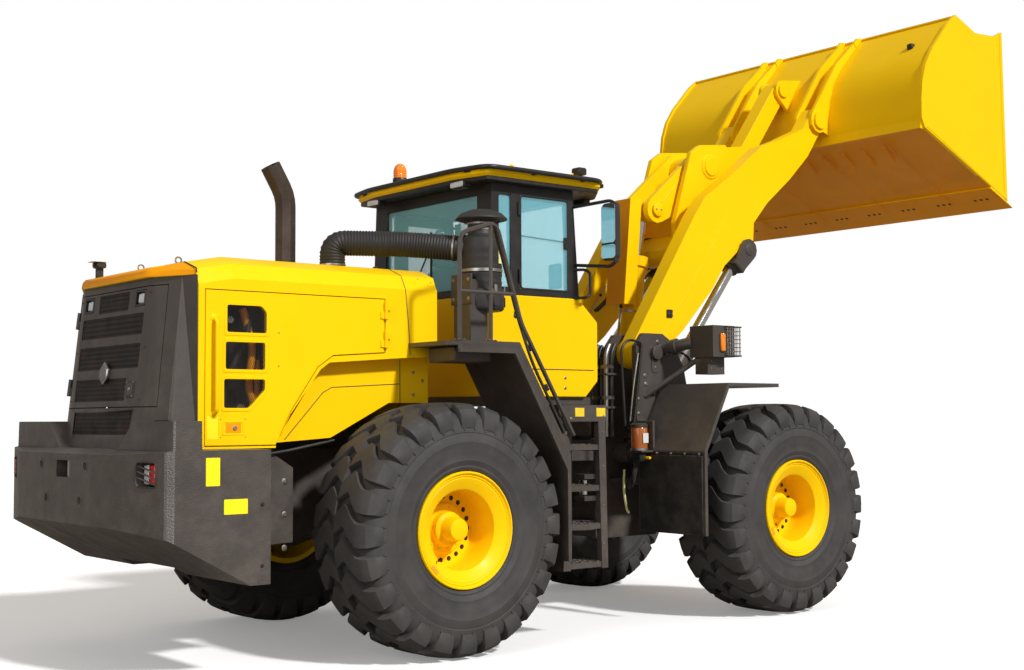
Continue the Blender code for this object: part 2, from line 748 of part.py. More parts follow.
def hood():
    shell = hood_loft(COWL_FRONT + GAP, HOOD_FRONT)
    cut(shell, hood_loft(COWL_FRONT - 0.1, HOOD_FRONT - HOOD_SKIN, HOOD_SKIN, HOOD_BOTTOM - 0.1))
    front = HOOD_FRONT - 0.001
    for side in (-1, 1):
        # Below the crease the side steps in behind the tyre: a wall with a ledge over it
        wall = [(-1.13, 1.47)] + CREASE[2:-1]
        wall += [(front, 2.069), (front, 1.74), (-0.19, 1.74), (-0.67, 1.50)]
        joined(shell, slab(wall, ARCH_WALL, ARCH_WALL + HOOD_SKIN, side))
        under = CREASE + [(HOOD_FRONT + 0.1, 1.3)]
        cut(shell, slab(under, ARCH_WALL + HOOD_SKIN, HOOD_HALF + 0.1, side))
        over = [(x, z + HOOD_SKIN) for x, z in CREASE[1:-1]] + [(front, 2.069 + HOOD_SKIN)]
        ledge = [(x + 0.001, z + 0.001) for x, z in CREASE[1:-1]] + [(front, 2.069)]
        joined(shell, slab(ledge + over[::-1], ARCH_WALL + 0.005, HOOD_HALF - HOOD_SKIN / 2, side))
        cut(shell, slab(grown(DOOR_OUTLINE, 0.006), HOOD_HALF - HOOD_SKIN - 0.004, HOOD_HALF + 0.1, side))
    for side in (-1, 1):
        axis = (DOOR_FRONT + 0.003, side * (HOOD_HALF + KNUCKLE + 0.001))
        joined(shell, *knuckles(axis, 1, (0, side), HINGE_HEIGHTS, (1, 0)))
    finish(shell, "hood", "yellow", machine)


def hood_door(side_name, side):
    panel = slab(DOOR_OUTLINE, HOOD_HALF - HOOD_SKIN, HOOD_HALF, side)
    windows = (
        [(-1.52, 2.19), (-1.23, 2.19), (-1.23, 2.33), (-1.27, 2.37), (-1.52, 2.37)],
        [(-1.53, 1.95), (-1.24, 1.95), (-1.24, 2.13), (-1.53, 2.13)],
        [(-1.54, 1.70), (-1.36, 1.70), (-1.24, 1.82), (-1.24, 1.89), (-1.54, 1.89)],
    )
    for window in windows:
        cut(panel, slab(window, HOOD_HALF - 0.1, HOOD_HALF - 0.008, side))
    y = side * (HOOD_HALF + 0.045)
    wall = side * (HOOD_HALF - 0.01)
    bar = rounded([(-1.61, wall, 1.66), (-1.61, y, 1.68), (-1.61, y, 2.26), (-1.61, wall, 2.28)], 0.04)
    joined(panel, tube(bar, 0.014))
    axis = (DOOR_FRONT + 0.003, side * (HOOD_HALF + KNUCKLE + 0.001))
    joined(panel, *knuckles(axis, 0, (0, side), HINGE_HEIGHTS, (-1, 0)))
    hinge = empty_at(f"hood_door_{side_name}_axis", (*axis, 2.0), machine)
    finish(panel, f"hood_door_{side_name}", "yellow", hinge)


# Half plans of the cowl at its foot and its head, (x, y): the flat leaning face ends at the
# first point, the grille door at the third and the cowl at the last
COWL_FOOT = ((-1.98, 0.51), (-1.96, 0.62), (-1.925, 0.73), (-1.885, 0.83), (COWL_FRONT, 0.95))
COWL_HEAD = ((-1.862, 0.53), (-1.842, 0.60), (-1.802, 0.69), (-1.762, 0.80), (COWL_FRONT, 0.935))
COWL_SEAM = 2


def half_plan(z):
    share = (z - HOOD_BOTTOM) / (CAP_BOTTOM - HOOD_BOTTOM)
    pairs = zip(COWL_FOOT, COWL_HEAD)
    return [tuple(a + (b - a) * share for a, b in zip(low, high)) for low, high in pairs]


def rings(z):
    """The cowl's outer and inner plan at a height, with the same points in the same order."""
    half = half_plan(z)
    front = (COWL_FRONT + 0.1, half[-1][1])
    outer = [(x, -y) for x, y in [front] + half[::-1]] + half + [front]
    return outer, grown(outer, -HOOD_SKIN)


def face_x(z):
    return half_plan(z)[0][0]


def leaning_box(z0, z1, y0, y1, depth0, depth1):
    """A block behind (or before) the leaning face, between two depths from it."""
    sections = []
    for z in (z0, z1):
        near, far = face_x(z) + depth0, face_x(z) + depth1
        sections.append([(near, y0, z), (far, y0, z), (far, y1, z), (near, y1, z)])
    return loft(sections)


def seam_axis(z):
    """The grille door's leaning hinge line outside the left seam."""
    (x0, y0), (x1, y1), (x2, y2) = half_plan(z)[COWL_SEAM - 1 : COWL_SEAM + 2]
    length = math.hypot(x2 - x0, y2 - y0)
    along_skin = ((x2 - x0) / length, (y2 - y0) / length)
    outward = (-along_skin[1], along_skin[0])
    reach = KNUCKLE + 0.002
    return (x1 + outward[0] * reach, y1 + outward[1] * reach), along_skin, outward


def seam_knuckles(own, heights, sense):
    found = []
    for z in heights:
        z0, z1 = (z - 0.06, z - GAP / 2) if own == 0 else (z + GAP / 2, z + 0.06)
        ends = []
        sections = []
        for level in (z0, z1):
            (x, y), skin, outward = seam_axis(level)
            ends.append((x, y, level))
        for level in (z0 + 0.004, z1 - 0.004):
            (x, y), skin, outward = seam_axis(level)
            deep = -(KNUCKLE + 0.010)
            near = 0.004 * sense
            corners = ((near, 0.0), (LEAF * sense, 0.0), (LEAF * sense, deep), (near, deep))
            sections.append([
                (x + skin[0] * u + outward[0] * v, y + skin[1] * u + outward[1] * v, level)
                for u, v in corners
            ])
        found.append(rod(*ends, KNUCKLE, 8))
        found.append(loft(sections))
    return found


GRILLE_HINGES = (1.86, 2.34)
# Recessed rows of the grille: z from, z to, y from, y to
GRILLE_ROWS = (
    (2.36, 2.485, -0.245, 0.245),
    (2.19, 2.33, -0.50, 0.50),
    (1.97, 2.13, -0.50, 0.50),
    (1.755, 1.905, -0.335, 0.50),
)
LOWER_ROW = (1.53, 1.68, -0.47, 0.47)
ROW_DEPTH = 0.012


def cowl():
    foot, head = HOOD_BOTTOM, CAP_BOTTOM - GAP
    top_wall = GRILLE_TOP + 0.006
    shell = loft([[(x, y, z) for x, y in rings(z)[0][1:-1]] for z in (foot, head)])
    cut(shell, loft([[(x, y, z) for x, y in rings(z)[1]] for z in (foot - 0.1, top_wall)]))
    opening = []
    near, far = -2.2, COWL_FRONT - 0.015
    for z in (GRILLE_BOTTOM - 0.006, top_wall):
        reach = half_plan(z)[COWL_SEAM][1] + 0.006
        opening.append([(near, -reach, z), (far, -reach, z), (far, reach, z), (near, reach, z)])
    cut(shell, loft(opening))
    joined(shell, *seam_knuckles(1, GRILLE_HINGES, 1))
    z0, z1, y0, y1 = LOWER_ROW
    cut(shell, leaning_box(z0, z1, y0, y1, -0.1, ROW_DEPTH))
    low, high, clear = COUNTERWEIGHT_TOP - 0.01, EAR_TOP + 0.004, 0.004
    for side in (-1, 1):
        ear = [(ear_inner(low) - clear, low), (1.0, low), (1.0, high), (ear_inner(high) - clear, high)]
        cut(shell, prism([(side * y, z) for y, z in ear], "x", -2.2, EAR_FRONT + clear))
    finish(shell, "cowl", "grey", machine)


def hood_cap():
    """Wedge over the cowl: x, half width, shoulder height, shoulder's inner y, top."""
    sections = []
    for x, half, shoulder, inner, top in (
        (-1.895, 0.53, 2.578, 0.50, 2.605),
        (-1.860, 0.60, 2.590, 0.55, 2.625),
        (-1.800, 0.735, 2.600, 0.62, 2.636),
        (COWL_FRONT, 0.917, 2.592, 0.75, 2.652),
    ):
        right = [(half, CAP_BOTTOM), (half - 0.012, shoulder), (inner, top)]
        sections.append([(x, -y, z) for y, z in right] + [(x, y, z) for y, z in reversed(right)])
    finish(loft(sections), "hood_cap", "yellow", machine)


def grille_door():
    sections = []
    first, last = 5 - COWL_SEAM, 6 + COWL_SEAM
    for z in (GRILLE_BOTTOM, GRILLE_TOP):
        outer, inner = rings(z)
        section = outer[first : last + 1] + inner[first : last + 1][::-1]
        sections.append([(x, y, z) for x, y in section])
    door = loft(sections)
    for z0, z1, y0, y1 in GRILLE_ROWS:
        cut(door, leaning_box(z0, z1, y0, y1, -0.1, ROW_DEPTH))
    for side in (-1, 1):
        y0, y1 = sorted((side * 0.34, side * 0.50))
        cut(door, leaning_box(2.375, 2.485, y0, y1, -0.1, 0.02))
    joined(door, *seam_knuckles(0, GRILLE_HINGES, -1))
    (x, y), _, _ = seam_axis(GRILLE_HINGES[0])
    hinge = empty_at("grille_door_axis", (x, y, GRILLE_HINGES[0]), machine)
    finish(door, "grille_door", "grey", hinge)


hood()
for side_name, side in SIDES.items():
    hood_door(side_name, side)
cowl()
hood_cap()
grille_door()


# Exhaust stack and intake with its air cleaner

EXHAUST_RADIUS = 0.078


def exhaust_stack():
    x, low, bend = -0.55, HOOD_TOP + GAP, 3.28
    path = rounded([(x, 0, low), (x, 0, bend), (x - 0.13, 0, bend + 0.22)], 0.08)
    flue = rounded([(x, 0, bend - 0.15), (x, 0, bend), (x - 0.17, 0, bend + 0.288)], 0.08)
    pipe = cut(tube(path, EXHAUST_RADIUS, sides_step=2), tube(flue, EXHAUST_RADIUS - 0.01, sides_step=2))
    finish(pipe, "exhaust_stack", "black", machine)


AIR_X, AIR_Y = 0.44, -1.10
HOSE_RADIUS = 0.097


def intake_hose():
    top = 2.90
    path = [(-0.42, -0.45, HOOD_TOP + GAP), (-0.42, -0.45, top), (0.05, -0.70, top)]
    path += [(AIR_X - 0.10, AIR_Y + 0.12, 2.86)]
    hose = tube(rounded(path, 0.16, 5), HOSE_RADIUS, sides_step=3)
    finish(hose, "intake_hose", "black", machine)


def air_cleaner():
    place, top = (AIR_X, AIR_Y, 2.40), (AIR_X, AIR_Y, 3.4)
    profile = [(0.0, 0.0), (0.15, 0.0), (0.165, 0.03), (0.165, 0.16), (0.145, 0.17), (0.145, 0.52)]
    profile += [(0.10, 0.56), (0.10, 0.66), (0.19, 0.66), (0.175, 0.70), (0.08, 0.74), (0.0, 0.745)]
    body = turned(profile, place, top, steps=18)
    joined(body, box(AIR_X - 0.18, AIR_X - 0.02, AIR_Y - 0.10, AIR_Y + 0.10, PLATFORM_TOP + GAP, 2.62))
    finish(body, "air_cleaner", "black", machine)


exhaust_stack()
intake_hose()
air_cleaner()


# Cab

def ring_box(x0, x1, half, z0, z1, wall):
    """An open-topped and open-bottomed ring of walls."""
    ring = box(x0, x1, -half, half, z0, z1)
    return cut(ring, box(x0 + wall, x1 - wall, -half + wall, half - wall, z0 - 0.1, z1 + 0.1))


DOOR_X0, DOOR_X1 = 1.02, 1.60
CAB_DOOR_AXIS = (DOOR_X0 - 0.003, CAB_HALF - 0.005 + KNUCKLE)


def cab_body():
    side_view = [
        (CAB_REAR, CAB_FLOOR),
        (1.72, CAB_FLOOR),
        (CAB_FRONT, 1.92),
        (CAB_FRONT, 2.39),
        (1.65, CAB_BELT),
        (CAB_REAR, CAB_BELT),
    ]
    body = prism(side_view, "y", -CAB_HALF, CAB_HALF)
    room = [
        (CAB_REAR + CAB_WALL, CAB_FLOOR + CAB_WALL),
        (1.68, CAB_FLOOR + CAB_WALL),
        (CAB_FRONT - CAB_WALL, 1.96),
        (CAB_FRONT - CAB_WALL, 2.7),
        (CAB_REAR + CAB_WALL, 2.7),
    ]
    cut(body, prism(room, "y", -CAB_HALF + CAB_WALL, CAB_HALF - CAB_WALL))
    inner, outer = CAB_HALF - 0.1, CAB_HALF + 0.1
    cut(body, box(DOOR_X0 - 0.006, DOOR_X1 + 0.006, inner, outer, CAB_FLOOR + CAB_WALL, 2.8))
    finish(body, "cab_body", "yellow", machine)


def cab_frame():
    """Pillars, sills and header, leaning in at the front."""
    z0, z1 = CAB_BELT + GAP, CAB_HEADER - GAP
    outer = [(CAB_REAR, z0), (1.66, z0), (1.60, z1), (CAB_REAR + 0.03, z1)]
    frame = prism(outer, "y", -CAB_HALF + 0.01, CAB_HALF - 0.01)
    room = [(CAB_REAR + 0.06, z0 - 0.1), (1.61, z0 - 0.1), (1.55, z1 + 0.1), (CAB_REAR + 0.08, z1 + 0.1)]
    cut(frame, prism(room, "y", -CAB_HALF + 0.07, CAB_HALF - 0.07))
    low, high = z0 + 0.05, z1 - 0.07
    # Side openings: the quarter pane, and on the right the framed window; x from, x to
    for side in (-1, 1):
        cut(frame, box(0.84, 0.97, side * 0.6, side * 0.9, low, high))
    cut(frame, box(1.06, 1.55, -0.9, -0.6, low, high))
    cut(frame, box(DOOR_X0 - 0.006, DOOR_X1 + 0.006, 0.6, 0.9, z0 - 0.1, high + 0.006))
    cut(frame, box(0.6, 1.0, -0.62, 0.62, low, high))
    cut(frame, box(1.4, 1.8, -0.70, 0.70, z0 + 0.02, high))
    for side in (-1, 1):
        arm = [(1.60, side * 0.76, 3.30), (1.68, side * 1.16, 3.32), (1.68, side * 1.21, 3.26)]
        arm += [(1.68, side * 1.21, 2.84), (1.66, side * 1.16, 2.80), (1.625, side * 0.77, 2.84)]
        joined(frame, tube(rounded(arm, 0.05), 0.014))
        joined(frame, box(1.66, 1.70, side * 1.09, side * 1.20, 2.88, 3.28))
    joined(frame, *knuckles(CAB_DOOR_AXIS, 1, (0, 1), (2.75, 3.20), (-1, 0)))
    finish(frame, "cab_frame", "black", machine)
    return low, high


def cab_glass(low, high):
    low, high = low + GAP, high - GAP
    rear, foot = CAB_REAR + 0.035, CAB_BELT + 0.021
    screen = [(1.635, foot), (1.645, foot), (1.585, high), (1.575, high)]
    panes = {
        "window_right": box(1.06 + GAP, 1.55 - GAP, -0.785, -0.765, low, high),
        "window_rear": box(rear, rear + 0.010, -0.62 + GAP, 0.62 - GAP, low, high),
        "windscreen": prism(screen, "y", -0.70 + GAP, 0.70 - GAP),
    }
    for name, pane in panes.items():
        finish(pane, name, "glass", machine)


def cab_roof():
    plan = [(ROOF_REAR, 0.55), (0.66, ROOF_HALF), (1.80, ROOF_HALF), (ROOF_FRONT, 0.62)]
    outline = [(x, -y) for x, y in plan] + [(x, y) for x, y in reversed(plan)]
    roof = prism(outline, "z", CAB_HEADER, CAB_TOP)
    rail = [(x * 1.0, y + 0.03, CAB_TOP - 0.01) for x, y in plan]
    loop = [(x - 0.02, -y, z) for x, y, z in rail] + [(x - 0.02, y, z) for x, y, z in reversed(rail)]
    joined(roof, tube(rounded(loop, 0.08, 2, closed=True), 0.02, closed=True))
    for side in (-1, 1):
        joined(roof, box(0.60, 0.68, side * 0.50, side * 0.66, 3.38, CAB_HEADER + 0.02))
        joined(roof, box(1.92, 2.0, side * 0.40, side * 0.56, 3.38, CAB_HEADER + 0.02))
    beacon = rod((0.72, 0.35, CAB_TOP - 0.01), (0.72, 0.35, 3.72), 0.055, 12)
    joined(roof, beacon)
    finish(roof, "cab_roof", "yellow", machine)


def cab_door():
    z0 = CAB_FLOOR + CAB_WALL + 0.006
    z1 = CAB_HEADER - 0.07
    outline = [(DOOR_X0, z0), (DOOR_X1, z0), (DOOR_X1, CAB_BELT), (1.56, z1), (DOOR_X0, z1)]
    window = [(DOOR_X0 + 0.06, CAB_BELT + 0.05), (1.53, CAB_BELT + 0.05), (1.50, z1 - 0.06)]
    window += [(DOOR_X0 + 0.06, z1 - 0.06)]
    door = slab(outline, CAB_HALF - 0.055, CAB_HALF - 0.005, 1)
    cut(door, slab(window, 0.5, 0.785, 1))
    joined(door, *knuckles(CAB_DOOR_AXIS, 0, (0, 1), (2.75, 3.20), (1, 0)))
    hinge = empty_at("cab_door_left_axis", (*CAB_DOOR_AXIS, 2.6), machine)
    finish(door, "cab_door_left", "black", hinge)


cab_body()
pane_low, pane_high = cab_frame()
cab_glass(pane_low, pane_high)
cab_roof()
cab_door()

floor_top = CAB_FLOOR + CAB_WALL
seat = box(0.98, 1.26, -0.18, 0.18, floor_top + GAP, 2.12)
joined(seat, box(0.92, 1.38, -0.26, 0.26, 2.10, 2.26))
joined(seat, prism([(0.90, 2.2), (1.04, 2.2), (0.98, 2.85), (0.86, 2.85)], "y", -0.25, 0.25))
joined(seat, box(0.87, 0.97, -0.13, 0.13, 2.82, 3.05))
finish(seat, "seat", "seat", machine)

side_view = [(1.52, floor_top + GAP), (1.66, floor_top + GAP), (1.56, 2.5), (1.47, 2.5)]
column = prism(side_view, "y", -0.12, 0.12)
wheel_hub, wheel_face = Vector((1.40, 0, 2.60)), Vector((-0.014, 0, 0.026))
joined(column, rod((1.50, 0, 2.42), wheel_hub + wheel_face * 0.5, 0.03, 10))
joined(column, rod(wheel_hub, wheel_hub + wheel_face, 0.19, 16))
finish(column, "steering_console", "black", machine)


# Rear fenders with platform, box, ladder and handrail

def platform(side_name, side):
    def plate(outline, inner, outer):
        return slab(outline, inner, outer, side)

    top = PLATFORM_TOP
    skin = 0.03
    fender = [
        (-0.10, top),
        (0.47, top),
        (0.94, 1.37),
        (0.94, 0.60),
        (0.94 - skin, 0.60),
        (0.94 - skin, 1.36),
        (0.455, top - skin),
        (-0.10, top - skin),
    ]
    base = plate(fender, 0.80, PLATFORM_HALF)
    lip = [(-0.10, top - 0.005), (0.465, top - 0.005), (0.93, 1.37), (0.93, 1.22), (0.43, top - 0.08)]
    lip += [(-0.10, top - 0.08)]
    joined(base, plate(lip, PLATFORM_HALF - 0.03, PLATFORM_HALF - 0.001))
    cut(base, prism([(-0.2, side * 1.6), (-0.2, side * 1.2), (0.02, side * 1.6)], "z", 2.0, 2.3))
    cut(base, box(-0.2, HOOD_FRONT + GAP, side * 0.7, side * (HOOD_HALF + GAP), 2.0, 2.3))
    # The box behind the ladder, bracketed to the frame rail
    joined(base, box(0.93, 1.30, side * 0.72, side * 1.10, 0.74, 1.60))
    joined(base, box(0.95, 1.15, side * (RAIL_OUTER + GAP), side * 0.75, 1.28, 1.38))
    # Ladder: two cheeks and four treads
    rear_cheek = [(0.93, 0.52), (1.0, 0.52), (1.0, 1.72), (0.93, 1.72)]
    front_cheek = [(1.31, 0.52), (1.37, 0.52), (1.35, 1.72), (1.28, 1.72)]
    joined(base, plate(rear_cheek, LADDER_HALF - 0.30, LADDER_HALF))
    joined(base, plate(front_cheek, LADDER_HALF - 0.05, LADDER_HALF - 0.002))
    for z in (0.57, 0.85, 1.13, 1.43):
        joined(base, box(0.95, 1.35, side * (LADDER_HALF - 0.26), side * (LADDER_HALF - 0.01), z - 0.04, z))
    joined(base, box(0.90, 1.37, side * 1.05, side * (LADDER_HALF - 0.005), 1.60, 1.72))
    # Handrail along the outer edge and down the fender
    y = side * (PLATFORM_HALF - 0.05)
    rail = [(-0.02, y, top - 0.01), (-0.02, y, 2.90), (0.30, y, 3.0), (0.52, y, 2.30), (1.01, y, 1.50)]
    joined(base, tube(rounded(rail, 0.07), 0.017))
    joined(base, tube([(-0.02, y, 2.5), (0.455, y, 2.5)], 0.015))
    joined(base, tube([(0.25, y, top - 0.01), (0.25, y, 2.99)], 0.015))
    finish(base, f"platform_{side_name}", "grey", machine)


for side_name, side in SIDES.items():
    platform(side_name, side)


# Front frame: hinge lugs, inner plates, towers, cross plates, headlamps

def front_frame():
    rear_x = 2.20
    inner = [
        (rear_x, FRAME_BOTTOM),
        (2.90, FRAME_BOTTOM),
        (3.08, FRAME_NOTCH),
        (3.80, FRAME_NOTCH),
        (3.80, 1.38),
        (3.05, 1.45),
        (2.91, 2.05),
        (2.70, TOWER_TOP),
        (2.44, TOWER_TOP),
        (TOWER_X, 2.22),
        (TOWER_X, 1.50),
        (rear_x, 1.45),
    ]
    frame = slab(inner, FRAME_Y, RAIL_OUTER, -1)
    joined(frame, slab(inner, FRAME_Y, RAIL_OUTER, 1))
    tower_face = TOWER_OUTER - PLATE - GAP
    for side in (-1, 1):
        joined(frame, box(TOWER_X + 0.002, 2.99, side * 0.35, side * tower_face, 1.08, 1.12))
        joined(frame, rod(at(BOOM_PIN, side * 0.31), at(BOOM_PIN, side * tower_face), PIN_RADIUS, 12))
        joined(frame, rod(at(LIFT_BASE_PIN, side * 0.34), at(LIFT_BASE_PIN, side * tower_face), 0.045))
        near, far = ARM_Y - LIFT_EYE_HALF - GAP, ARM_Y + LIFT_EYE_HALF + GAP
        joined(frame, rod(at(LIFT_BASE_PIN, side * 0.34), at(LIFT_BASE_PIN, side * near), 0.07))
        joined(frame, rod(at(LIFT_BASE_PIN, side * far), at(LIFT_BASE_PIN, side * tower_face), 0.07))
        # Steering ears
        x, y = STEER_EYE
        for z0, z1 in ((STEER_Z - 0.11, STEER_Z - 0.07), (STEER_Z + 0.07, STEER_Z + 0.11)):
            joined(frame, box(x - 0.06, rear_x + 0.05, side * (y - 0.07), side * (y + 0.07), z0, z1))
    # Cross plates: x from, x to, z from, z to
    for x0, x1, z0, z1 in (
        (rear_x, rear_x + 0.05, 0.63, 1.44),
        (2.99, 3.04, 1.14, 1.44),
        (3.70, 3.78, 1.10, 1.34),
    ):
        joined(frame, box(x0, x1, -RAIL_OUTER + 0.01, RAIL_OUTER - 0.01, z0, z1))
    joined(frame, box(2.72, 3.02, -FRAME_Y - 0.03, FRAME_Y + 0.03, 1.385, 1.425))
    joined(frame, rod(at(TILT_BASE_PIN, -0.13), at(TILT_BASE_PIN, 0.13), 0.05))
    lug = hull([(TILT_BASE_PIN, 0.10)], more=[(2.74, 1.40), (3.0, 1.40)])
    for side in (-1, 1):
        joined(frame, slab(lug, TILT_EYE_HALF + GAP, TILT_EYE_HALF + 0.04, side))
    lug = [(rear_x + 0.02, -RAIL_OUTER + 0.01)]
    lug += [(rear_x + 0.02, RAIL_OUTER - 0.01)]
    lug += arc((HINGE_X, 0), 0.15, 120, 240, 5)
    bore = circle((HINGE_X, 0), (HINGE_PIN_RADIUS + PIN_PLAY) / math.cos(math.pi / 12), 12)
    for z0, z1 in LUGS:
        joined(frame, prism([lug, bore], "z", z0, z1))
    cut(frame, rod((rear_x - 0.1, 0, 0.95), (rear_x + 0.2, 0, 0.93), 0.13, 12))
    finish(frame, "front_frame", "grey", steer_joint)


front_frame()


def front_tower(side_name, side):
    """Outer tower plate with its pin boss, and the headlamp on its arm and strut."""
    outer = [
        (TOWER_X, 1.07),
        (3.00, 1.07),
        (3.05, 1.45),
        (2.91, 2.05),
        (2.78, 2.26),
        (2.66, TOWER_TOP),
        (2.44, TOWER_TOP),
        (TOWER_X, 2.22),
    ]
    tower = slab(outer, TOWER_OUTER - PLATE, TOWER_OUTER, side)
    joined(tower, rod(at(BOOM_PIN, side * (TOWER_OUTER - 0.01)), at(BOOM_PIN, side * 0.75), PIN_RADIUS, 12))
    joined(tower, box(2.72, 2.98, side * 0.98, side * 1.24, 2.12, 2.38))
    joined(tower, rod((2.74, side * 1.0, 2.25), (2.68, side * 0.70, 2.20), 0.05, 10))
    joined(tower, box(2.74, 2.94, side * 1.02, side * 1.16, 1.98, 2.14))
    joined(tower, rod((2.45, side * 0.71, 1.80), (2.80, side * 1.06, 2.14), 0.022, 8))
    finish(tower, f"front_tower_{side_name}", "grey", steer_joint)


for side_name, side in SIDES.items():
    front_tower(side_name, side)


def front_fender(side_name, side):
    skin = 0.03
    outline = [
        (3.22, FENDER_TOP),
        (2.61, FENDER_TOP),
        (2.33, 1.36),
        (2.33, 0.70),
        (2.33 + skin, 0.70),
        (2.33 + skin, 1.355),
        (2.628, FENDER_TOP - skin),
        (3.22, FENDER_TOP - skin),
    ]
    base = slab(outline, 0.76, FENDER_HALF, side)
    top = FENDER_TOP - 0.002
    web = [(2.62, top), (2.335, 1.37), (2.335, 1.12), (2.90, 1.50), (2.95, top)]
    joined(base, slab(web, TOWER_OUTER + GAP, 0.79, side))
    finish(base, f"front_fender_{side_name}", "grey", steer_joint)


for side_name, side in SIDES.items():
    front_fender(side_name, side)


# Boom with its cross tube and lever brackets

ARM_IN, ARM_OUT = ARM_Y - ARM_THICK / 2, ARM_Y + ARM_THICK / 2
CROSS_TUBE = (3.45, 3.15)
BRACKET_Y = 0.225


def boom():
    outline = arc(BOOM_PIN, 0.14, 150, 320, 6)
    outline += [(3.06, 2.38), (3.43, 2.75), (3.60, 2.98)]
    outline += arc(LIFT_ROD_PIN, 0.09, 180, 360, 5)
    outline += [(4.00, 3.40), (4.19, 3.60), (4.51, 3.85), (4.78, 4.10)]
    outline += arc(BUCKET_PIN, 0.12, -70, 110, 6)
    outline += [(4.72, 4.36), (4.40, 4.22), (4.12, 4.12), (3.75, 3.84), (3.36, 3.58), (3.22, 3.40)]
    bore = BORE * PIN_RADIUS_WITH_PLAY
    arm = [outline, circle(BOOM_PIN, 0.10), circle(BUCKET_PIN, bore)]
    boom_solid = slab(arm, ARM_IN, ARM_OUT, -1)
    joined(boom_solid, slab(arm, ARM_IN, ARM_OUT, 1))
    hub = [circle(BOOM_PIN, 0.12), circle(BOOM_PIN, bore)]
    for side in (-1, 1):
        joined(boom_solid, slab(hub, RAIL_OUTER + GAP, TOWER_OUTER - PLATE - GAP, side))
    joined(boom_solid, rod(at(CROSS_TUBE, -ARM_Y), at(CROSS_TUBE, ARM_Y), 0.14))
    bracket = [(3.30, 3.10), (3.60, 3.06), (3.98, 3.72), (4.12, 4.02), (3.96, 4.16), (3.62, 4.12)]
    bracket += [(3.50, 4.04), (3.28, 3.38)]
    for side in (-1, 1):
        joined(boom_solid, slab([bracket, circle(LEVER_PIN, bore)], BRACKET_Y, BRACKET_Y + PLATE, side))
    finish(boom_solid, "boom", "yellow", lift_joint)


boom()


def headed_pin(middle, reach, radius, head=0.02):
    """A pin across the machine with a head at each end, just outside reach."""
    low, high = reach
    bar = rod(at(middle, low - head), at(middle, high + head), radius)
    for y, out in ((low, -1), (high, 1)):
        joined(bar, rod(at(middle, y + out * GAP), at(middle, y + out * (head + 0.002)), radius + 0.025))
    return bar


lever_reach = BRACKET_Y + PLATE
finish(headed_pin(LEVER_PIN, (-lever_reach, lever_reach), PIN_RADIUS), "lever_pin", "steel", lever_joint)


def bellcrank():
    outline = hull([(TILT_ROD_PIN, 0.12), (LEVER_PIN, 0.18), (LINK_LEVER_PIN, 0.12)])
    hub_hole = circle(LEVER_PIN, 0.10)
    lever = slab([outline, hub_hole], 0.13, 0.19, -1)
    hub = [circle(LEVER_PIN, 0.13), circle(LEVER_PIN, BORE * PIN_RADIUS_WITH_PLAY)]
    joined(lever, slab([outline, hub_hole], 0.13, 0.19, 1))
    joined(lever, prism(hub, "y", -BRACKET_Y + GAP, BRACKET_Y - GAP))
    for middle in (TILT_ROD_PIN, LINK_LEVER_PIN):
        for side in (-1, 1):
            joined(lever, rod(at(middle, side * 0.14), at(middle, side * 0.205), 0.05, 10))
    finish(lever, "bellcrank", "yellow", lever_joint)


bellcrank()


def link():
    outline = hull([(LINK_LEVER_PIN, 0.09), (LINK_BUCKET_PIN, 0.09)])
    bar = prism([outline, circle(LINK_BUCKET_PIN, BORE * (0.045 + PIN_PLAY))], "y", -LINK_HALF, LINK_HALF)
    finish(bar, "bucket_link", "yellow", link_joint)


link()
LINK_LUG = LINK_HALF + GAP + 0.035
finish(headed_pin(LINK_BUCKET_PIN, (-LINK_LUG, LINK_LUG), 0.045), "link_pin", "steel", link_joint)


# Bucket: rolled shell, side plates, cutting edge, hinge plates

EAR_IN, EAR_OUT = ARM_IN - 0.035, ARM_OUT + 0.035


def bucket():
    shell_line = [
        (6.30, 3.723),
        (5.10, 4.262),
        (5.06, 4.33),
        (5.06, 4.50),
        (5.08, 4.66),
        (5.14, 4.83),
        (5.25, 4.99),
        (5.50, 5.25),
        (5.60, 5.345),
    ]
    half = BUCKET_HALF
    body = shell_ribbon(shell_line, -half + 0.01, half - 0.01, BUCKET_SKIN, 1)
    edge = [(BUCKET_TIP_X, 3.63), (6.47, 3.645), (6.14, 3.82), (6.12, 3.785)]
    joined(body, prism(edge, "y", -half, half))
    cheek = [(6.40, 3.69), (6.37, 5.33), (6.24, 5.27), (5.93, 5.25), (5.61, 5.37), (5.50, 5.285)]
    cheek += [(5.235, 5.0), (5.125, 4.835), (5.065, 4.665), (5.045, 4.50), (5.045, 4.325), (5.09, 4.245)]
    for side in (-1, 1):
        joined(body, slab(cheek, half - 0.035, half, side))
        # Ears round the arm tip that run up the back as far as the top edge
        ear = arc(BUCKET_PIN, 0.12, 145, 300, 5)
        ear += [(5.12, 4.30), (5.10, 4.66), (5.26, 4.97), (5.55, 5.28), (5.50, 5.32), (5.20, 5.06)]
        bore = circle(BUCKET_PIN, BORE * PIN_RADIUS_WITH_PLAY)
        for inner, outer in ((EAR_IN, ARM_IN - GAP), (ARM_OUT + GAP, EAR_OUT)):
            joined(body, slab([ear, bore], inner, outer, side))
        lug = hull([(LINK_BUCKET_PIN, 0.10)], more=[(5.115, 4.60), (5.27, 4.99)])
        lug_bore = circle(LINK_BUCKET_PIN, BORE * (0.045 + PIN_PLAY))
        joined(body, slab([lug, lug_bore], LINK_HALF + GAP, LINK_LUG, side))
    heel = [(5.045, 4.235), (5.11, 4.225), (5.15, 4.26), (5.065, 4.34)]
    joined(body, prism(heel, "y", -half + 0.02, half - 0.02))
    finish(body, "bucket", "yellow", bucket_joint)


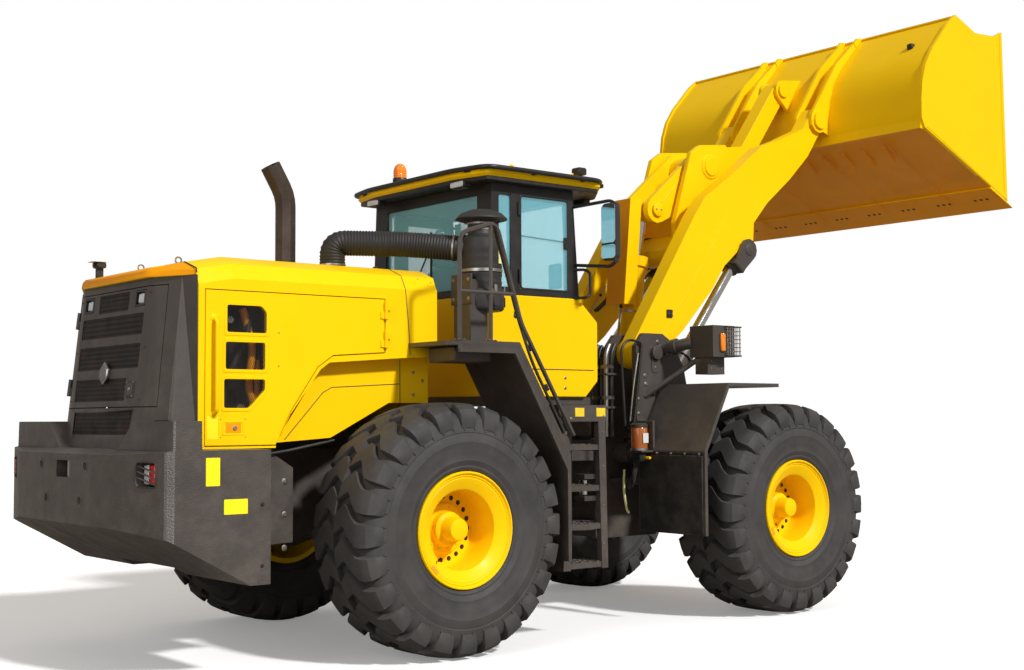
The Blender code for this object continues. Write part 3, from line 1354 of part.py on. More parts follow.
bucket()
for side_name, side in SIDES.items():
    reach = sorted((side * EAR_IN, side * EAR_OUT))
    finish(headed_pin(BUCKET_PIN, reach, PIN_RADIUS), f"bucket_pin_{side_name}", "steel", bucket_joint)


# Cylinders: hollow barrel with its eye, and rod

def barrel(start, end, length, bore_depth, radius, rod_radius, eye_radius, eye_half, pin_radius, across):
    """Barrel on a neck from its eye at start towards end, bored from the gland."""
    neck = eye_radius + 0.015
    body = rod(along(start, end, neck), along(start, end, length), radius)
    joined(body, rod(along(start, end, 0.0), along(start, end, neck + 0.02), eye_half * 0.85))
    joined(body, rod(along(start, end, length - 0.06), along(start, end, length + 0.02), radius + 0.012))
    side = Vector(across) * eye_half
    joined(body, rod(Vector(start) - side, Vector(start) + side, eye_radius))
    bottom = along(start, end, length + 0.02 - bore_depth)
    cut(body, rod(bottom, along(start, end, length + 0.1), rod_radius + SEAL_PLAY))
    wide = Vector(across) * (eye_half + 0.05)
    hole = BORE * (pin_radius + PIN_PLAY)
    cut(body, rod(Vector(start) - wide, Vector(start) + wide, hole))
    return body


def tilt_cylinder():
    base, eye = at(TILT_BASE_PIN), at(TILT_ROD_PIN)
    body = barrel(base, eye, 1.32, 0.80, 0.09, 0.045, 0.10, TILT_EYE_HALF, 0.05, (0, 1, 0))
    finish(body, "tilt_cylinder_barrel", "yellow", tilt_joint)
    stem = rod(along(base, eye, 0.80), eye, 0.045, 12)
    joined(stem, rod(at(TILT_ROD_PIN, -0.085), at(TILT_ROD_PIN, 0.085), 0.10))
    # The guard runs down behind the rod, held by the eye
    back = [(2.79, 2.63), (2.93, 2.63), (3.02, 3.58), (2.88, 3.58)]
    channel = prism(back, "y", -0.12, 0.12)
    slot = [(2.82, 2.5), (2.99, 2.5), (3.11, 3.7), (2.93, 3.7)]
    cut(channel, prism(slot, "y", -0.10, 0.10))
    joined(stem, channel, box(2.90, 3.12, -0.08, 0.08, 3.42, 3.54))
    finish(stem, "tilt_cylinder_rod", "chrome", tilt_joint)


tilt_cylinder()


def lift_cylinder(side_name, side):
    y = side * ARM_Y
    base, eye = at(LIFT_BASE_PIN, y), at(LIFT_ROD_PIN, y)
    length = (Vector(eye) - Vector(base)).length
    hinge = empty_at(f"lift_cylinder_{side_name}_axis", base, steer_joint)
    body = barrel(base, eye, 1.12, 1.045, 0.085, 0.045, 0.085, LIFT_EYE_HALF, 0.045, (0, 1, 0))
    finish(body, f"lift_cylinder_barrel_{side_name}", "grey", hinge)
    stem = rod(along(base, eye, 1.03), along(base, eye, length - 0.19), 0.045, 12)
    start, stop = along(base, eye, length - 0.24), along(base, eye, length - 0.17)
    joined(stem, rod(start, stop, 0.075))
    inner, outer = ARM_THICK / 2 + 0.01, ARM_THICK / 2 + 0.04
    direction = (Vector(eye) - Vector(base)).normalized()
    across = Vector((-direction.z, 0, direction.x))

    def corners(reach, half):
        middle = Vector(eye) - direction * reach
        return [((middle + across * t).x, (middle + across * t).z) for t in (half, -half)]

    block = corners(0.22, 0.07) + corners(0.165, 0.07)[::-1]
    joined(stem, prism(block, "y", y - outer + 0.004, y + outer - 0.004))
    for s in (-1, 1):
        cheek = hull([(LIFT_ROD_PIN, 0.10)], more=corners(0.21, 0.06))
        low, high = sorted((y + s * inner, y + s * outer))
        joined(stem, prism(cheek, "y", low, high))
    finish(stem, f"lift_cylinder_rod_{side_name}", "chrome", hinge)


def steer_cylinder(side_name, side):
    base = (STEER_BASE[0], side * STEER_BASE[1], STEER_Z)
    eye = (STEER_EYE[0], side * STEER_EYE[1], STEER_Z)
    hinge = empty_at(f"steer_cylinder_{side_name}_axis", base, machine)
    body = barrel(base, eye, 0.72, 0.60, 0.055, 0.025, 0.055, STEER_EYE_HALF, STEER_PIN_RADIUS, (0, 0, 1))
    finish(body, f"steer_cylinder_barrel_{side_name}", "grey", hinge)
    stem = rod(along(base, eye, 0.45), eye, 0.025, 12)
    joined(stem, rod(Vector(eye) - Vector((0, 0, 0.06)), Vector(eye) + Vector((0, 0, 0.06)), 0.045, 12))
    finish(stem, f"steer_cylinder_rod_{side_name}", "chrome", hinge)


for side_name, side in SIDES.items():
    lift_cylinder(side_name, side)
    steer_cylinder(side_name, side)
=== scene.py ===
"""Looks of the articulated wheel loader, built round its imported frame.

Places in the tables are in metres from the ground under the middle of the rear axle, +X forward,
+Y to the machine's left, +Z up. SHIFT turns them into the frame's own coordinates.
"""

import json
import math

import bmesh
import bpy
from mathutils import Matrix, Vector
from mathutils.geometry import tessellate_polygon


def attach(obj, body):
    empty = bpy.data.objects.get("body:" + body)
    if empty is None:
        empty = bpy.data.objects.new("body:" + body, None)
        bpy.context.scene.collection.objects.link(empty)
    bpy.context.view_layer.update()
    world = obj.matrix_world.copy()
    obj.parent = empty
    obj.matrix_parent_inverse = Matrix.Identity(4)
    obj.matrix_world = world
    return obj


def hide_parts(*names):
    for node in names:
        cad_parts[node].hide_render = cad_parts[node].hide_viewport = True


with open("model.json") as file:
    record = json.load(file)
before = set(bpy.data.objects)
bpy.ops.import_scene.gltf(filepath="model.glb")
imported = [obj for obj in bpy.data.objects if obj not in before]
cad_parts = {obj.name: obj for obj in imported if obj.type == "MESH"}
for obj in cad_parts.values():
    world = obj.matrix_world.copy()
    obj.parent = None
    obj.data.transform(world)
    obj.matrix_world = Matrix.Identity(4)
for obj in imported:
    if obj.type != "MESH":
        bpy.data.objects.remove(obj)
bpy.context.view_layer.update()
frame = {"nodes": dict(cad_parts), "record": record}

SHIFT = Matrix.Translation((-2.135, 0, 0))
BODY_OF = {n: body for body, members in frame["record"]["behaviour"]["bodies"].items() for n in members}
SIDES = {"right": -1, "left": 1}
# Pins of the linkage as the photograph shows it, (x, z)
BOOM_PIN, LEVER_PIN, TILT_PIN, LINK_PIN = (2.57, 2.17), (3.75, 3.93), (3.14, 3.49), (4.42, 4.1)
LIFT_BASE, LIFT_PIN, TILT_BASE = (2.45, 1.33), (3.89, 3.14), (2.86, 1.75)
CROSS_TUBE, CROSS_RADIUS = (3.45, 3.15), 0.142
# Outer faces, half widths from the middle plane
HOOD_SIDE, COWL_STEP, CAB_SIDE, FRAME_SIDE, TOWER_SIDE, ARM_SIDE = 0.95, 0.8352, 0.8, 0.78, 0.72, 0.575
DECK_TOP = 2.16


# Materials

materials = {}


def node_at(tree, kind, **values):
    node = tree.nodes.new(kind)
    for name, value in values.items():
        if hasattr(node, name):
            setattr(node, name, value)
        else:
            node.inputs[name.replace("_", " ")].default_value = value
    return node


def noise(tree, place, scale, detail=4.0, rough=0.55):
    found = node_at(tree, "ShaderNodeTexNoise", Scale=scale, Detail=detail, Roughness=rough)
    tree.links.new(place, found.inputs["Vector"])
    return found.outputs["Fac"]


def ranged(tree, value, low, high, to_low=0.0, to_high=1.0):
    found = node_at(tree, "ShaderNodeMapRange", clamp=True)
    for name, number in (("From Min", low), ("From Max", high), ("To Min", to_low), ("To Max", to_high)):
        found.inputs[name].default_value = number
    tree.links.new(value, found.inputs["Value"])
    return found.outputs["Result"]


def mixed(tree, factor, first, second):
    found = node_at(tree, "ShaderNodeMix", data_type="RGBA")
    tree.links.new(factor, found.inputs["Factor"])
    for socket, value in (("A", first), ("B", second)):
        where = [i for i in found.inputs if i.name == socket and i.type == "RGBA"][0]
        if isinstance(value, tuple):
            where.default_value = (*value, 1)
        else:
            tree.links.new(value, where)
    return [o for o in found.outputs if o.type == "RGBA"][0]


def times(tree, first, second):
    found = node_at(tree, "ShaderNodeMath", operation="MULTIPLY")
    tree.links.new(first, found.inputs[0])
    tree.links.new(second, found.inputs[1])
    return found.outputs[0]


def surface(
    name, colour, rough, metal=0.0, specular=0.5, mottle=0.06, mottle_scale=2.5, rough_change=0.08,
    dust=0.0, dust_colour=(0.3, 0.25, 0.19), dust_top=2.4, grains=(), alpha=1.0
):
    """A procedural material: cloudy colour, uneven gloss, dust that thickens downward, fine relief.

    grains are (kind, scale, strength, depth in metres), kind noise, cells, weave or brushed.
    """
    made = bpy.data.materials.new(name)
    made.use_nodes = True
    tree = made.node_tree
    shader = tree.nodes["Principled BSDF"]
    place = tree.nodes.new("ShaderNodeTexCoord").outputs["Object"]
    shader.inputs["Metallic"].default_value = metal
    shader.inputs["Specular IOR Level"].default_value = specular
    if alpha < 1:
        shader.inputs["Alpha"].default_value = alpha
    clouds = noise(tree, place, mottle_scale, 5.0)
    dark = tuple(c * (1 - mottle) for c in colour)
    light = tuple(min(1.0, c * (1 + mottle)) for c in colour)
    shade = mixed(tree, ranged(tree, clouds, 0.3, 0.7), dark, light)
    if dust > 0:
        height = tree.nodes.new("ShaderNodeSeparateXYZ")
        tree.links.new(place, height.inputs[0])
        low = ranged(tree, height.outputs["Z"], dust_top, 0.2, 0.15, 1.0)
        patches = ranged(tree, noise(tree, place, 6.0, 8.0, 0.7), 0.42, 0.75, 0.0, dust)
        shade = mixed(tree, times(tree, low, patches), shade, dust_colour)
    tree.links.new(shade, shader.inputs["Base Color"])
    uneven = noise(tree, place, mottle_scale * 3.1, 6.0)
    tree.links.new(
        ranged(tree, uneven, 0.3, 0.7, max(0.02, rough - rough_change), min(1.0, rough + rough_change)),
        shader.inputs["Roughness"],
    )
    normal = None
    for kind, scale, strength, depth in grains:
        if kind == "cells":
            cells = node_at(tree, "ShaderNodeTexVoronoi", Scale=scale)
            tree.links.new(place, cells.inputs["Vector"])
            relief = cells.outputs["Distance"]
        elif kind == "weave":
            wave = node_at(
                tree, "ShaderNodeTexWave", wave_type="BANDS", bands_direction="DIAGONAL", Scale=scale
            )
            tree.links.new(place, wave.inputs["Vector"])
            relief = wave.outputs["Fac"]
        elif kind == "brushed":
            stretch = node_at(tree, "ShaderNodeMapping")
            stretch.inputs["Scale"].default_value = (scale * 0.04, scale, scale)
            tree.links.new(place, stretch.inputs["Vector"])
            relief = noise(tree, stretch.outputs["Vector"], 1.0, 3.0)
        else:
            relief = noise(tree, place, scale, 3.0)
        bump = node_at(tree, "ShaderNodeBump", Strength=strength, Distance=depth)
        tree.links.new(relief, bump.inputs["Height"])
        if normal is not None:
            tree.links.new(normal, bump.inputs["Normal"])
        normal = bump.outputs["Normal"]
    if normal is not None:
        tree.links.new(normal, shader.inputs["Normal"])
    materials[name] = made


YELLOW = (0.99, 0.61, 0.002)
GREY = (0.062, 0.053, 0.048)
surface(
    "yellow", YELLOW, 0.38, specular=0.1, mottle=0.02, dust=0.03, dust_top=2.0,
    grains=[("noise", 90, 0.05, 0.002)]
)
# An oranger copy of the yellow: painted shade for faces turned away from the light, with a little dust
surface(
    "yellow_shade", (0.86, 0.33, 0.004), 0.42, specular=0.1, mottle=0.05, dust=0.06,
    grains=[("noise", 70, 0.05, 0.002)]
)
# Near black: painted shade for the floors of shallow recesses and holes, with orange dust patches
surface(
    "depths", (0.01, 0.009, 0.009), 0.6, specular=0.2, dust=0.35, dust_colour=(0.42, 0.11, 0.01),
    dust_top=9.0, grains=[("noise", 30, 0.4, 0.01)]
)
# A lighter, rough-cast copy of the grey: the grain is real, the lighter tone is painted light
surface(
    "cast_rough", (0.13, 0.12, 0.112), 0.45, specular=0.5, mottle=0.2,
    grains=[("cells", 130, 0.8, 0.006), ("noise", 60, 0.4, 0.004)]
)
surface(
    "exhaust", (0.05, 0.036, 0.03), 0.42, metal=0.4, mottle=0.25, dust=0.3, dust_top=4.5,
    grains=[("noise", 45, 0.15, 0.003)]
)
surface("label", (0.93, 0.92, 0.45), 0.4, specular=0.3, mottle=0.03)
surface("oil", (0.42, 0.12, 0.03), 0.15, specular=0.6, mottle=0.2)
# A darker, oranger copy of the yellow: painted shade for gaps and tucked-in bolts, with dust
surface("yellow_deep_painted_shade", (0.86, 0.4, 0.004), 0.5, specular=0.2, mottle=0.08, dust=0.35, dust_top=6.0)
surface("grey", GREY, 0.42, specular=0.4, mottle=0.1, dust=0.3, grains=[("noise", 140, 0.08, 0.002)])
surface(
    "cast", GREY, 0.4, specular=0.45, mottle=0.12, dust=0.25,
    grains=[("noise", 28, 0.25, 0.006), ("cells", 95, 0.35, 0.004)]
)
surface("black", (0.014, 0.013, 0.013), 0.42, mottle=0.15, dust=0.25, grains=[("noise", 160, 0.1, 0.001)])
surface("tread_plate", (0.05, 0.045, 0.042), 0.5, mottle=0.2, dust=0.5, grains=[("cells", 55, 0.5, 0.004)])
surface(
    "tyre", (0.048, 0.046, 0.046), 0.7, specular=0.35, mottle=0.22, mottle_scale=5.0, dust=0.45,
    dust_colour=(0.085, 0.073, 0.065), dust_top=2.6,
    grains=[("noise", 60, 0.25, 0.003), ("noise", 260, 0.2, 0.001)]
)
surface("rubber", (0.016, 0.015, 0.015), 0.6, mottle=0.2, dust=0.25, grains=[("noise", 180, 0.15, 0.001)])
surface("plastic", (0.022, 0.021, 0.021), 0.55, mottle=0.12, dust=0.25, grains=[("cells", 240, 0.12, 0.001)])
surface("plastic_grey", (0.16, 0.16, 0.165), 0.55, mottle=0.08, dust=0.1, grains=[("cells", 260, 0.1, 0.001)])
surface(
    "chrome", (0.78, 0.78, 0.8), 0.1, metal=1.0, mottle=0.03, rough_change=0.05,
    grains=[("brushed", 160, 0.03, 0.0005)]
)
surface(
    "steel", (0.42, 0.41, 0.39), 0.38, metal=1.0, mottle=0.15, rough_change=0.12,
    grains=[("brushed", 220, 0.2, 0.001)]
)
surface("zinc", (0.36, 0.34, 0.3), 0.4, metal=1.0, mottle=0.2, grains=[("noise", 200, 0.1, 0.001)])
surface("dark_bolt", (0.05, 0.035, 0.028), 0.5, metal=0.6, mottle=0.3, grains=[("noise", 220, 0.2, 0.001)])
# Glass: its cyan is partly the glass's own tint and partly a painted reflection of blue sky
surface(
    "glass", (0.32, 0.8, 0.92), 0.04, specular=0.6, mottle=0.02, rough_change=0.02, alpha=0.34, dust=0.04,
    dust_top=4.5
)
surface("lens_clear", (0.75, 0.8, 0.84), 0.08, specular=0.8, mottle=0.05, grains=[("weave", 60, 0.5, 0.003)])
surface("lens_red", (0.55, 0.01, 0.012), 0.12, specular=0.7, mottle=0.1, grains=[("weave", 90, 0.4, 0.002)])
surface(
    "lens_amber", (0.95, 0.26, 0.015), 0.12, specular=0.7, mottle=0.12, grains=[("weave", 70, 0.4, 0.002)]
)
surface("mirror", (0.85, 0.88, 0.9), 0.03, metal=1.0, mottle=0.01, rough_change=0.02)
surface("fabric", (0.03, 0.03, 0.034), 0.85, specular=0.2, mottle=0.2, grains=[("weave", 320, 0.6, 0.001)])
surface("plate_yellow", (0.96, 0.8, 0.012), 0.35, specular=0.3, mottle=0.03, dust=0.1)
surface("plate_white", (0.72, 0.73, 0.72), 0.4, mottle=0.04, dust=0.15)
surface("reflector", (0.93, 0.62, 0.02), 0.18, specular=0.8, mottle=0.05, grains=[("cells", 160, 0.6, 0.003)])
surface(
    "radiator", (0.02, 0.018, 0.017), 0.55, metal=0.3, mottle=0.3, dust=0.4, dust_top=4.0,
    grains=[("weave", 130, 0.8, 0.003)]
)
surface(
    "engine", (0.045, 0.036, 0.032), 0.5, mottle=0.25, dust=0.4, dust_top=4.0,
    grains=[("noise", 50, 0.3, 0.004)]
)


# Shapes

class Piece:
    """Gathers closed shapes, each with a material, into one object that rides on a body."""

    def __init__(self, name, material="grey"):
        self.name = name
        self.verts = []
        self.faces = []
        self.paints = []
        self.smooth = []
        self.used = []
        self.use(material)

    def use(self, material):
        if material not in self.used:
            self.used.append(material)
        self.paint = self.used.index(material)
        return self

    def add(self, verts, faces, smooth=False, place=None):
        base = len(self.verts)
        for v in verts:
            self.verts.append(tuple(place @ Vector(v)) if place is not None else tuple(v))
        for face in faces:
            self.faces.append([base + i for i in face])
            self.paints.append(self.paint)
            self.smooth.append(smooth)
        return self

    def box(self, x0, x1, y0, y1, z0, z1, c=0.004, place=None):
        """A block with chamfered edges."""
        low = [min(x0, x1), min(y0, y1), min(z0, z1)]
        high = [max(x0, x1), max(y0, y1), max(z0, z1)]
        c = min([c] + [(h - w) * 0.4 for w, h in zip(low, high)])
        corners = [(i, j, k) for i in (0, 1) for j in (0, 1) for k in (0, 1)]
        verts, index = [], {}
        for s in corners:
            for a in range(3):
                p = [(high if s[i] else low)[i] + (0 if i == a else (-c if s[i] else c)) for i in range(3)]
                index[s, a] = len(verts)
                verts.append(p)
        faces = []
        for a in range(3):
            b, d = (a + 1) % 3, (a + 2) % 3
            for sa in (0, 1):
                ring = []
                for sb, sd in ((0, 0), (1, 0), (1, 1), (0, 1)):
                    s = [0, 0, 0]
                    s[a], s[b], s[d] = sa, sb, sd
                    ring.append(index[tuple(s), a])
                faces.append(ring)
            for sb in (0, 1):
                for sd in (0, 1):
                    s = [0, 0, 0]
                    s[b], s[d] = sb, sd
                    t = list(s)
                    t[a] = 1
                    s, t = tuple(s), tuple(t)
                    faces.append([index[s, b], index[t, b], index[t, d], index[s, d]])
        for s in corners:
            faces.append([index[s, 0], index[s, 1], index[s, 2]])
        return self.add(verts, faces, False, place)

    def lathe(self, start, end, profile, n=24, place=None, phase=0.0):
        """Profile points (radius, distance from start) turned about the line from start to end."""
        here = towards(start, end)
        verts, rings = [], []
        for r, t in profile:
            if r < 1e-6:
                rings.append([len(verts)])
                verts.append(here @ Vector((0, 0, t)))
                continue
            rings.append(list(range(len(verts), len(verts) + n)))
            for a in circle(n, phase):
                verts.append(here @ Vector((r * math.cos(a), r * math.sin(a), t)))
        faces = []
        closed = len(rings[0]) > 1 and len(rings[-1]) > 1
        pairs = list(zip(rings, rings[1:])) + ([(rings[-1], rings[0])] if closed else [])
        for a, b in pairs:
            for k in range(n):
                j = (k + 1) % n
                if len(a) == 1:
                    faces.append([a[0], b[k], b[j]])
                elif len(b) == 1:
                    faces.append([a[k], a[j], b[0]])
                else:
                    faces.append([a[k], a[j], b[j], b[k]])
        return self.add(verts, faces, True, place)

    def upright(self, place, profile, n=24):
        return self.lathe(place, Vector(place) + Vector((0, 0, 1)), profile, n)

    def sideways(self, place, side, profile, n=24):
        return self.lathe(place, Vector(place) + Vector((0, side, 0)), profile, n)

    def rod(self, start, end, r, n=16, r2=None, c=0.003):
        """A round bar with chamfered ends."""
        length = (Vector(end) - Vector(start)).length
        r2 = r if r2 is None else r2
        c = min(c, length * 0.3, r * 0.5)
        return self.lathe(
            start, end, [(0, 0), (r - c, 0), (r, c), (r2, length - c), (r2 - c, length), (0, length)], n
        )

    def tube(self, points, r, n=10, closed=False, ribs=0.0, rib_every=0.02):
        """A round bar swept along a path, ribbed like a hose if ribs is over zero."""
        points = [Vector(p) for p in points]
        if ribs > 0:
            points = evenly(points, rib_every / 2)
        count = len(points)
        verts, rings = [], []
        side = None
        for i, here in enumerate(points):
            before = points[i - 1] if i or closed else here
            after = points[(i + 1) % count] if i < count - 1 or closed else here
            way = (after - before).normalized()
            if side is None:
                side = way.orthogonal().normalized()
            side = (side - way * side.dot(way)).normalized()
            up = way.cross(side)
            radius = r + (ribs if i % 2 else 0.0)
            rings.append(list(range(len(verts), len(verts) + n)))
            for a in circle(n):
                verts.append(here + side * (radius * math.cos(a)) + up * (radius * math.sin(a)))
        faces = []
        for a, b in list(zip(rings, rings[1:])) + ([(rings[-1], rings[0])] if closed else []):
            for k in range(n):
                j = (k + 1) % n
                faces.append([a[k], a[j], b[j], b[k]])
        if not closed:
            faces.append(rings[0][::-1])
            faces.append(rings[-1])
        return self.add(verts, faces, True)

    def pipe(self, points, bend, r, n=10, steps=5, closed=False):
        """A round bar along a path whose corners are rounded by bend."""
        return self.tube(rounded(points, bend, steps, closed), r, n, closed)

    def plate(self, outline, axis, low, high, c=0.003, holes=(), place=None):
        """A flat outline made thick along an axis, its edges chamfered, with through holes."""
        low, high = min(low, high), max(low, high)
        c = min(c, (high - low) * 0.4)
        loops = [outline] + [list(h) for h in holes]
        verts, rings = [], []
        for i, loop in enumerate(loops):
            inner = grown(loop, c if i else -c)
            for points, level in ((inner, low), (loop, low + c), (loop, high - c), (inner, high)):
                rings.append(list(range(len(verts), len(verts) + len(points))))
                for u, v in points:
                    verts.append({"x": (level, u, v), "y": (u, level, v), "z": (u, v, level)}[axis])
        faces = []
        for i in range(len(loops)):
            group = rings[4 * i : 4 * i + 4]
            for a, b in zip(group, group[1:]):
                for k in range(len(a)):
                    j = (k + 1) % len(a)
                    faces.append([a[k], a[j], b[j], b[k]])
        for level in (0, 3):
            caps = [rings[4 * i + level] for i in range(len(loops))]
            if len(caps) == 1:
                faces.append(caps[0])
            else:
                flat = {"x": (1, 2), "y": (0, 2), "z": (0, 1)}[axis]
                polys = [[Vector((verts[k][flat[0]], verts[k][flat[1]], 0)) for k in cap] for cap in caps]
                order = [k for cap in caps for k in cap]
                for triangle in tessellate_polygon(polys):
                    faces.append([order[k] for k in triangle])
        return self.add(verts, faces, False, place)

    def loft(self, sections, smooth=True):
        """A closed solid through rings of points."""
        verts = [p for section in sections for p in section]
        n = len(sections[0])
        faces = []
        for i in range(len(sections) - 1):
            for k in range(n):
                j = (k + 1) % n
                faces.append([i * n + k, i * n + j, (i + 1) * n + j, (i + 1) * n + k])
        faces.append(list(range(n)))
        faces.append([(len(sections) - 1) * n + k for k in range(n)][::-1])
        return self.add(verts, faces, smooth)

    def bolt(self, place, normal, r=0.014, washer=True, material="zinc"):
        """A hexagon head, with its washer, standing on a face."""
        kept = self.paint
        self.use(material)
        start, way = Vector(place), Vector(normal).normalized()
        if washer:
            self.lathe(
                start, start + way,
                [(0, -0.001), (r * 1.5, -0.001), (r * 1.5, 0.002), (r * 1.3, 0.003), (0, 0.003)], 14
            )
        head = r * 0.75
        self.lathe(start, start + way, button(r, head * 0.8, r * 0.8, head), 6)
        self.smooth[-18:] = [False] * 18
        self.paint = kept
        return self

    def bolts(self, spots, y, side, r=0.014, washer=True, material="zinc"):
        """Bolts at points (x, z) of the upright face at y."""
        for x, z in spots:
            self.bolt((x, y, z), (0, side, 0), r, washer, material)

    def mesh_sheet(self, place, width, height, pitch=0.016, hole=0.36, thick=0.002, outline=None):
        """A perforated sheet in its own xy plane: staggered eight-sided holes, rims turned in.

        With an outline, only the cells whose middle lies inside it are there.
        """
        across = int(width / pitch)
        rows = int(height / (pitch * 0.87))
        step_x, step_y = width / across, height / rows
        verts, faces = [], []
        for j in range(rows):
            shift = 0.5 * step_x * (j % 2)
            for i in range(across):
                cx = -width / 2 + (i + 0.5) * step_x + shift - 0.25 * step_x
                cy = -height / 2 + (j + 0.5) * step_y
                if outline is not None and not inside_polygon(outline, cx, cy):
                    continue
                base = len(verts)
                for level, grow in ((0.0, 1.0), (0.0, hole), (-thick, hole)):
                    for k in range(8):
                        a = math.pi * (k + 0.5) / 4
                        if grow == 1.0:
                            reach = 0.5 / max(abs(math.cos(a)), abs(math.sin(a)))
                            verts.append(
                                (cx + step_x * reach * math.cos(a), cy + step_y * reach * math.sin(a), level)
                            )
                        else:
                            verts.append(
                                (cx + pitch * hole * math.cos(a), cy + pitch * hole * math.sin(a), level)
                            )
                for k in range(8):
                    m = (k + 1) % 8
                    faces.append([base + k, base + m, base + 8 + m, base + 8 + k])
                    faces.append([base + 8 + k, base + 8 + m, base + 16 + m, base + 16 + k])
        return self.add(verts, faces, False, place)

    def done(self, body, replaces=(), recalc=True, sharp=38):
        """Makes the object, hands it to its body and hides the nodes it stands for."""
        mesh = bpy.data.meshes.new(self.name)
        mesh.from_pydata([tuple(SHIFT @ Vector(v)) for v in self.verts], [], self.faces)
        for name in self.used:
            mesh.materials.append(materials[name])
        mesh.polygons.foreach_set("material_index", self.paints)
        mesh.polygons.foreach_set("use_smooth", self.smooth)
        if recalc:
            bm = bmesh.new()
            bm.from_mesh(mesh)
            bmesh.ops.recalc_face_normals(bm, faces=bm.faces)
            bm.to_mesh(mesh)
            bm.free()
        mesh.set_sharp_from_angle(angle=math.radians(sharp))
        mesh.validate()
        obj = bpy.data.objects.new(self.name, mesh)
        bpy.context.scene.collection.objects.link(obj)
        return mounted(obj, body, replaces)


def mounted(obj, body, replaces=()):
    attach(obj, body)
    if replaces:
        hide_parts(*replaces)
    return obj


def pin_at(pin, y):
    """A place on a pin's axis, y from the middle plane."""
    return (pin[0], y, pin[1])


def in_plane(y, points):
    """Places for points (x, z) in the upright plane at y."""
    return [(x, y, z) for x, z in points]


def towards(start, end):
    start, end = Vector(start), Vector(end)
    return Matrix.Translation(start) @ (end - start).to_track_quat("Z", "Y").to_matrix().to_4x4()


def grown(outline, amount):
    """An outline whose edges all move outward by an amount, inward if it is negative."""
    count = len(outline)
    area = sum(outline[i - 1][0] * outline[i][1] - outline[i][0] * outline[i - 1][1] for i in range(count))
    turn = 1 if area > 0 else -1
    found = []
    for i in range(count):
        p, q, r = (Vector(outline[k % count]) for k in (i - 1, i, i + 1))
        a, b = (q - p).normalized(), (r - q).normalized()
        first, second = Vector((a.y, -a.x)) * turn, Vector((b.y, -b.x)) * turn
        middle = first + second
        if middle.length < 1e-6:
            middle = first.copy()
        middle.normalize()
        reach = amount / max(0.35, middle.dot(first))
        found.append((q.x + middle.x * reach, q.y + middle.y * reach))
    return found


def rounded(points, radius, steps=5, closed=False):
    """The same path with each corner rounded."""
    points = [Vector(p) for p in points]
    found = []
    count = len(points)
    for i, here in enumerate(points):
        if not closed and i in (0, count - 1):
            found.append(here)
            continue
        before, after = points[i - 1] - here, points[(i + 1) % count] - here
        reach = min(radius, before.length * 0.48, after.length * 0.48)
        first, last = here + before.normalized() * reach, here + after.normalized() * reach
        for k in range(steps + 1):
            t = k / steps
            found.append(first * (1 - t) ** 2 + here * 2 * t * (1 - t) + last * t**2)
    return found


def soft_outline(points, radius, steps=4):
    return [tuple(p) for p in rounded(points, radius, steps, True)]


def evenly(points, step):
    found = [points[0]]
    left = step
    for a, b in zip(points, points[1:]):
        length = (b - a).length
        t = left
        while t <= length:
            found.append(a + (b - a) * (t / length))
            t += step
        left = t - length
    return found


def button(r, high, top_r, top, middle_top=None):
    """A turned profile: a disc of radius r up to high, then a cone to top_r at top."""
    return [(0, 0), (r, 0), (r, high), (top_r, top), (0, top if middle_top is None else middle_top)]


def drum(r, high):
    return [(0, 0), (r, 0), (r, high), (0, high)]


def band(inner, outer, slope, high, end=None):
    """A turned profile: a ring from inner to outer, its first edge sloped."""
    return [(inner, 0), (outer, slope), (outer, high), (inner, high + slope if end is None else end)]


def oblong(x0, x1, y0, y1, radius, steps=4):
    return soft_outline([(x0, y0), (x1, y0), (x1, y1), (x0, y1)], radius, steps)


def inside_polygon(polygon, x, y):
    found = False
    for i in range(len(polygon)):
        (x0, y0), (x1, y1) = polygon[i - 1], polygon[i]
        if (y0 > y) != (y1 > y) and x < x0 + (x1 - x0) * (y - y0) / (y1 - y0):
            found = not found
    return found


def ring_at(middle, y, radius, steps=24):
    """Points round a circle in an upright plane along the machine."""
    return in_plane(y, arc(middle, radius, 0, 360, steps)[:-1])


def lifting_eye(piece, x, y, z, radius, thick, foot, sides):
    """An upright ring on a turned foot; z is the ring's middle, foot (z, profile)."""
    piece.tube(ring_at((x, z), y, radius, 16), thick, 8, True)
    piece.lathe((x, y, foot[0]), (x, y, foot[0] + 1), foot[1], sides)


def circle(count, shift=0, start=0):
    """Angles of evenly spaced points round a circle."""
    return [start + 2 * math.pi * (k + shift) / count for k in range(count)]


def arc(middle, radius, start, end, steps):
    turns = [math.radians(start + (end - start) * k / steps) for k in range(steps + 1)]
    return [(middle[0] + radius * math.cos(a), middle[1] + radius * math.sin(a)) for a in turns]


